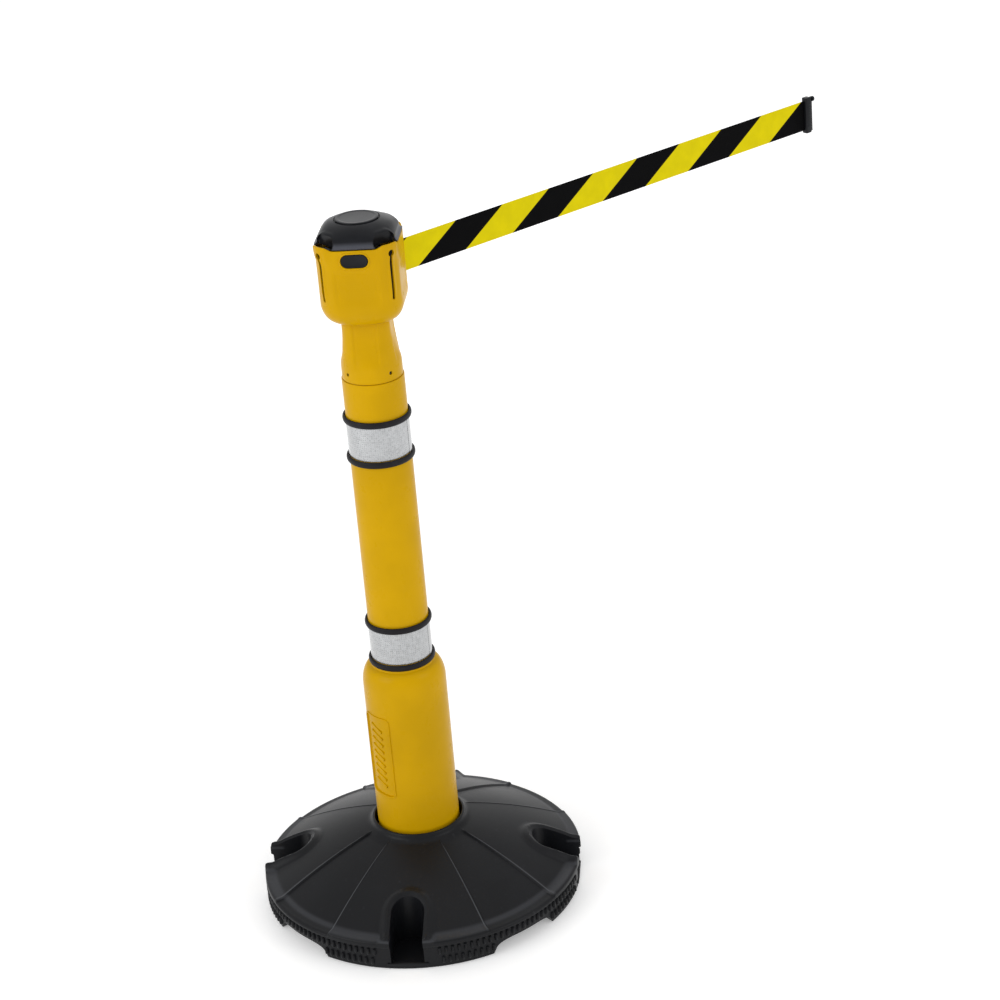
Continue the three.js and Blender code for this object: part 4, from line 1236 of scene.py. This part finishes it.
class STANCHION_OT_insides(bpy.types.Operator):
    """Give the parts inside the post and the head their finishes"""
    bl_idname = "stanchion.insides"
    bl_label = "Inside parts"

    def execute(self, context):
        slots = {row["node"]: row["material_slot"] for row in frame["record"]["subparts"]}
        for node, obj in frame["nodes"].items():
            slot = slots[node]
            if slot == "webbing":
                slot = "inner_plastic"
            if not obj.data.materials:
                obj.data.materials.append(None)
            for holder in obj.material_slots:
                holder.material = finish_of(slot)
        spring = frame["nodes"]["button_spring"]
        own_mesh(spring)
        return {"FINISHED"}


class STANCHION_OT_stage(bpy.types.Operator):
    """Set the camera, the pale floor and the soft lights"""
    bl_idname = "stanchion.stage"
    bl_label = "Studio"

    def execute(self, context):
        self.camera(context)
        floor = bmesh.new()
        bmesh.ops.create_grid(floor, x_segments=8, y_segments=8, size=60.0)
        ground = loose("studio_floor", floor)
        ground.data.materials.append(finish_of("floor"))
        ground.data.transform(Matrix.Translation((0, 0, CAD_BOX[0][2] - 0.0005)))
        for lamp in LAMPS:
            self.light(*lamp)
        world = context.scene.world or bpy.data.worlds.new("studio_air")
        context.scene.world = world
        world.use_nodes = True
        sky = next(n for n in world.node_tree.nodes if n.type == "BACKGROUND")
        sky.inputs["Color"].default_value = (1.0, 1.0, 1.0, 1.0)
        sky.inputs["Strength"].default_value = 0.68
        context.scene.view_settings.view_transform = "Standard"
        return {"FINISHED"}

    def camera(self, context):
        """A long lens, looking down on the post from the side of the button."""
        lens = bpy.data.cameras.new("studio_camera")
        lens.sensor_width, lens.lens = 36.0, 96.0
        camera = bpy.data.objects.new("studio_camera", lens)
        context.collection.objects.link(camera)
        camera.location = CAMERA_PLACE
        level = Matrix.Rotation(math.radians(-50), 3, "Z") @ Matrix.Rotation(math.radians(64.813), 3, "X")
        forward = level @ Vector((0, 0, -1))
        swing = forward.rotation_difference((CAMERA_AIM - CAMERA_PLACE).normalized()).to_matrix()
        camera.rotation_mode = "QUATERNION"
        camera.rotation_quaternion = (swing @ level).to_quaternion()
        context.scene.camera = camera

    def light(self, name, place, size, power):
        lamp = bpy.data.lights.new(name, "AREA")
        lamp.shape, lamp.size, lamp.energy = "SQUARE", size, power
        holder = bpy.data.objects.new(name, lamp)
        bpy.context.collection.objects.link(holder)
        holder.location = place
        holder.rotation_mode = "QUATERNION"
        holder.rotation_quaternion = (LAMP_AIM - Vector(place)).to_track_quat("-Z", "Y")


class STANCHION_PT_panel(bpy.types.Panel):
    """Sidebar list of the stanchion's pieces"""
    bl_idname = "STANCHION_PT_panel"
    bl_label = "Belt stanchion"
    bl_space_type = "VIEW_3D"
    bl_region_type = "UI"
    bl_category = "Stanchion"

    def draw(self, context):
        column = self.layout.column()
        for operator in OPERATORS:
            column.operator(operator.bl_idname)


GROUPS = {
    "stanchion_base": BaseSizes, "stanchion_post": PostSizes, "stanchion_head": HeadSizes,
    "stanchion_belt": BeltSizes, "stanchion_finishes": Finishes,
}
OPERATORS = [
    STANCHION_OT_stage, STANCHION_OT_insides, STANCHION_OT_base, STANCHION_OT_studs,
    STANCHION_OT_sleeve, STANCHION_OT_tube, STANCHION_OT_bands, STANCHION_OT_neck,
    STANCHION_OT_head, STANCHION_OT_cap, STANCHION_OT_button, STANCHION_OT_belt,
    STANCHION_OT_clip,
]
CLASSES = [*GROUPS.values(), *OPERATORS, STANCHION_PT_panel]


def register():
    for kind in CLASSES:
        bpy.utils.register_class(kind)
    for name, kind in GROUPS.items():
        setattr(bpy.types.Scene, name, PointerProperty(type=kind))


def unregister():
    for name in GROUPS:
        delattr(bpy.types.Scene, name)
    for kind in reversed(CLASSES):
        bpy.utils.unregister_class(kind)


def main():
    register()
    for operator in OPERATORS:
        group, name = operator.bl_idname.split(".")
        getattr(getattr(bpy.ops, group), name)()


if __name__ == "__main__":
    main()
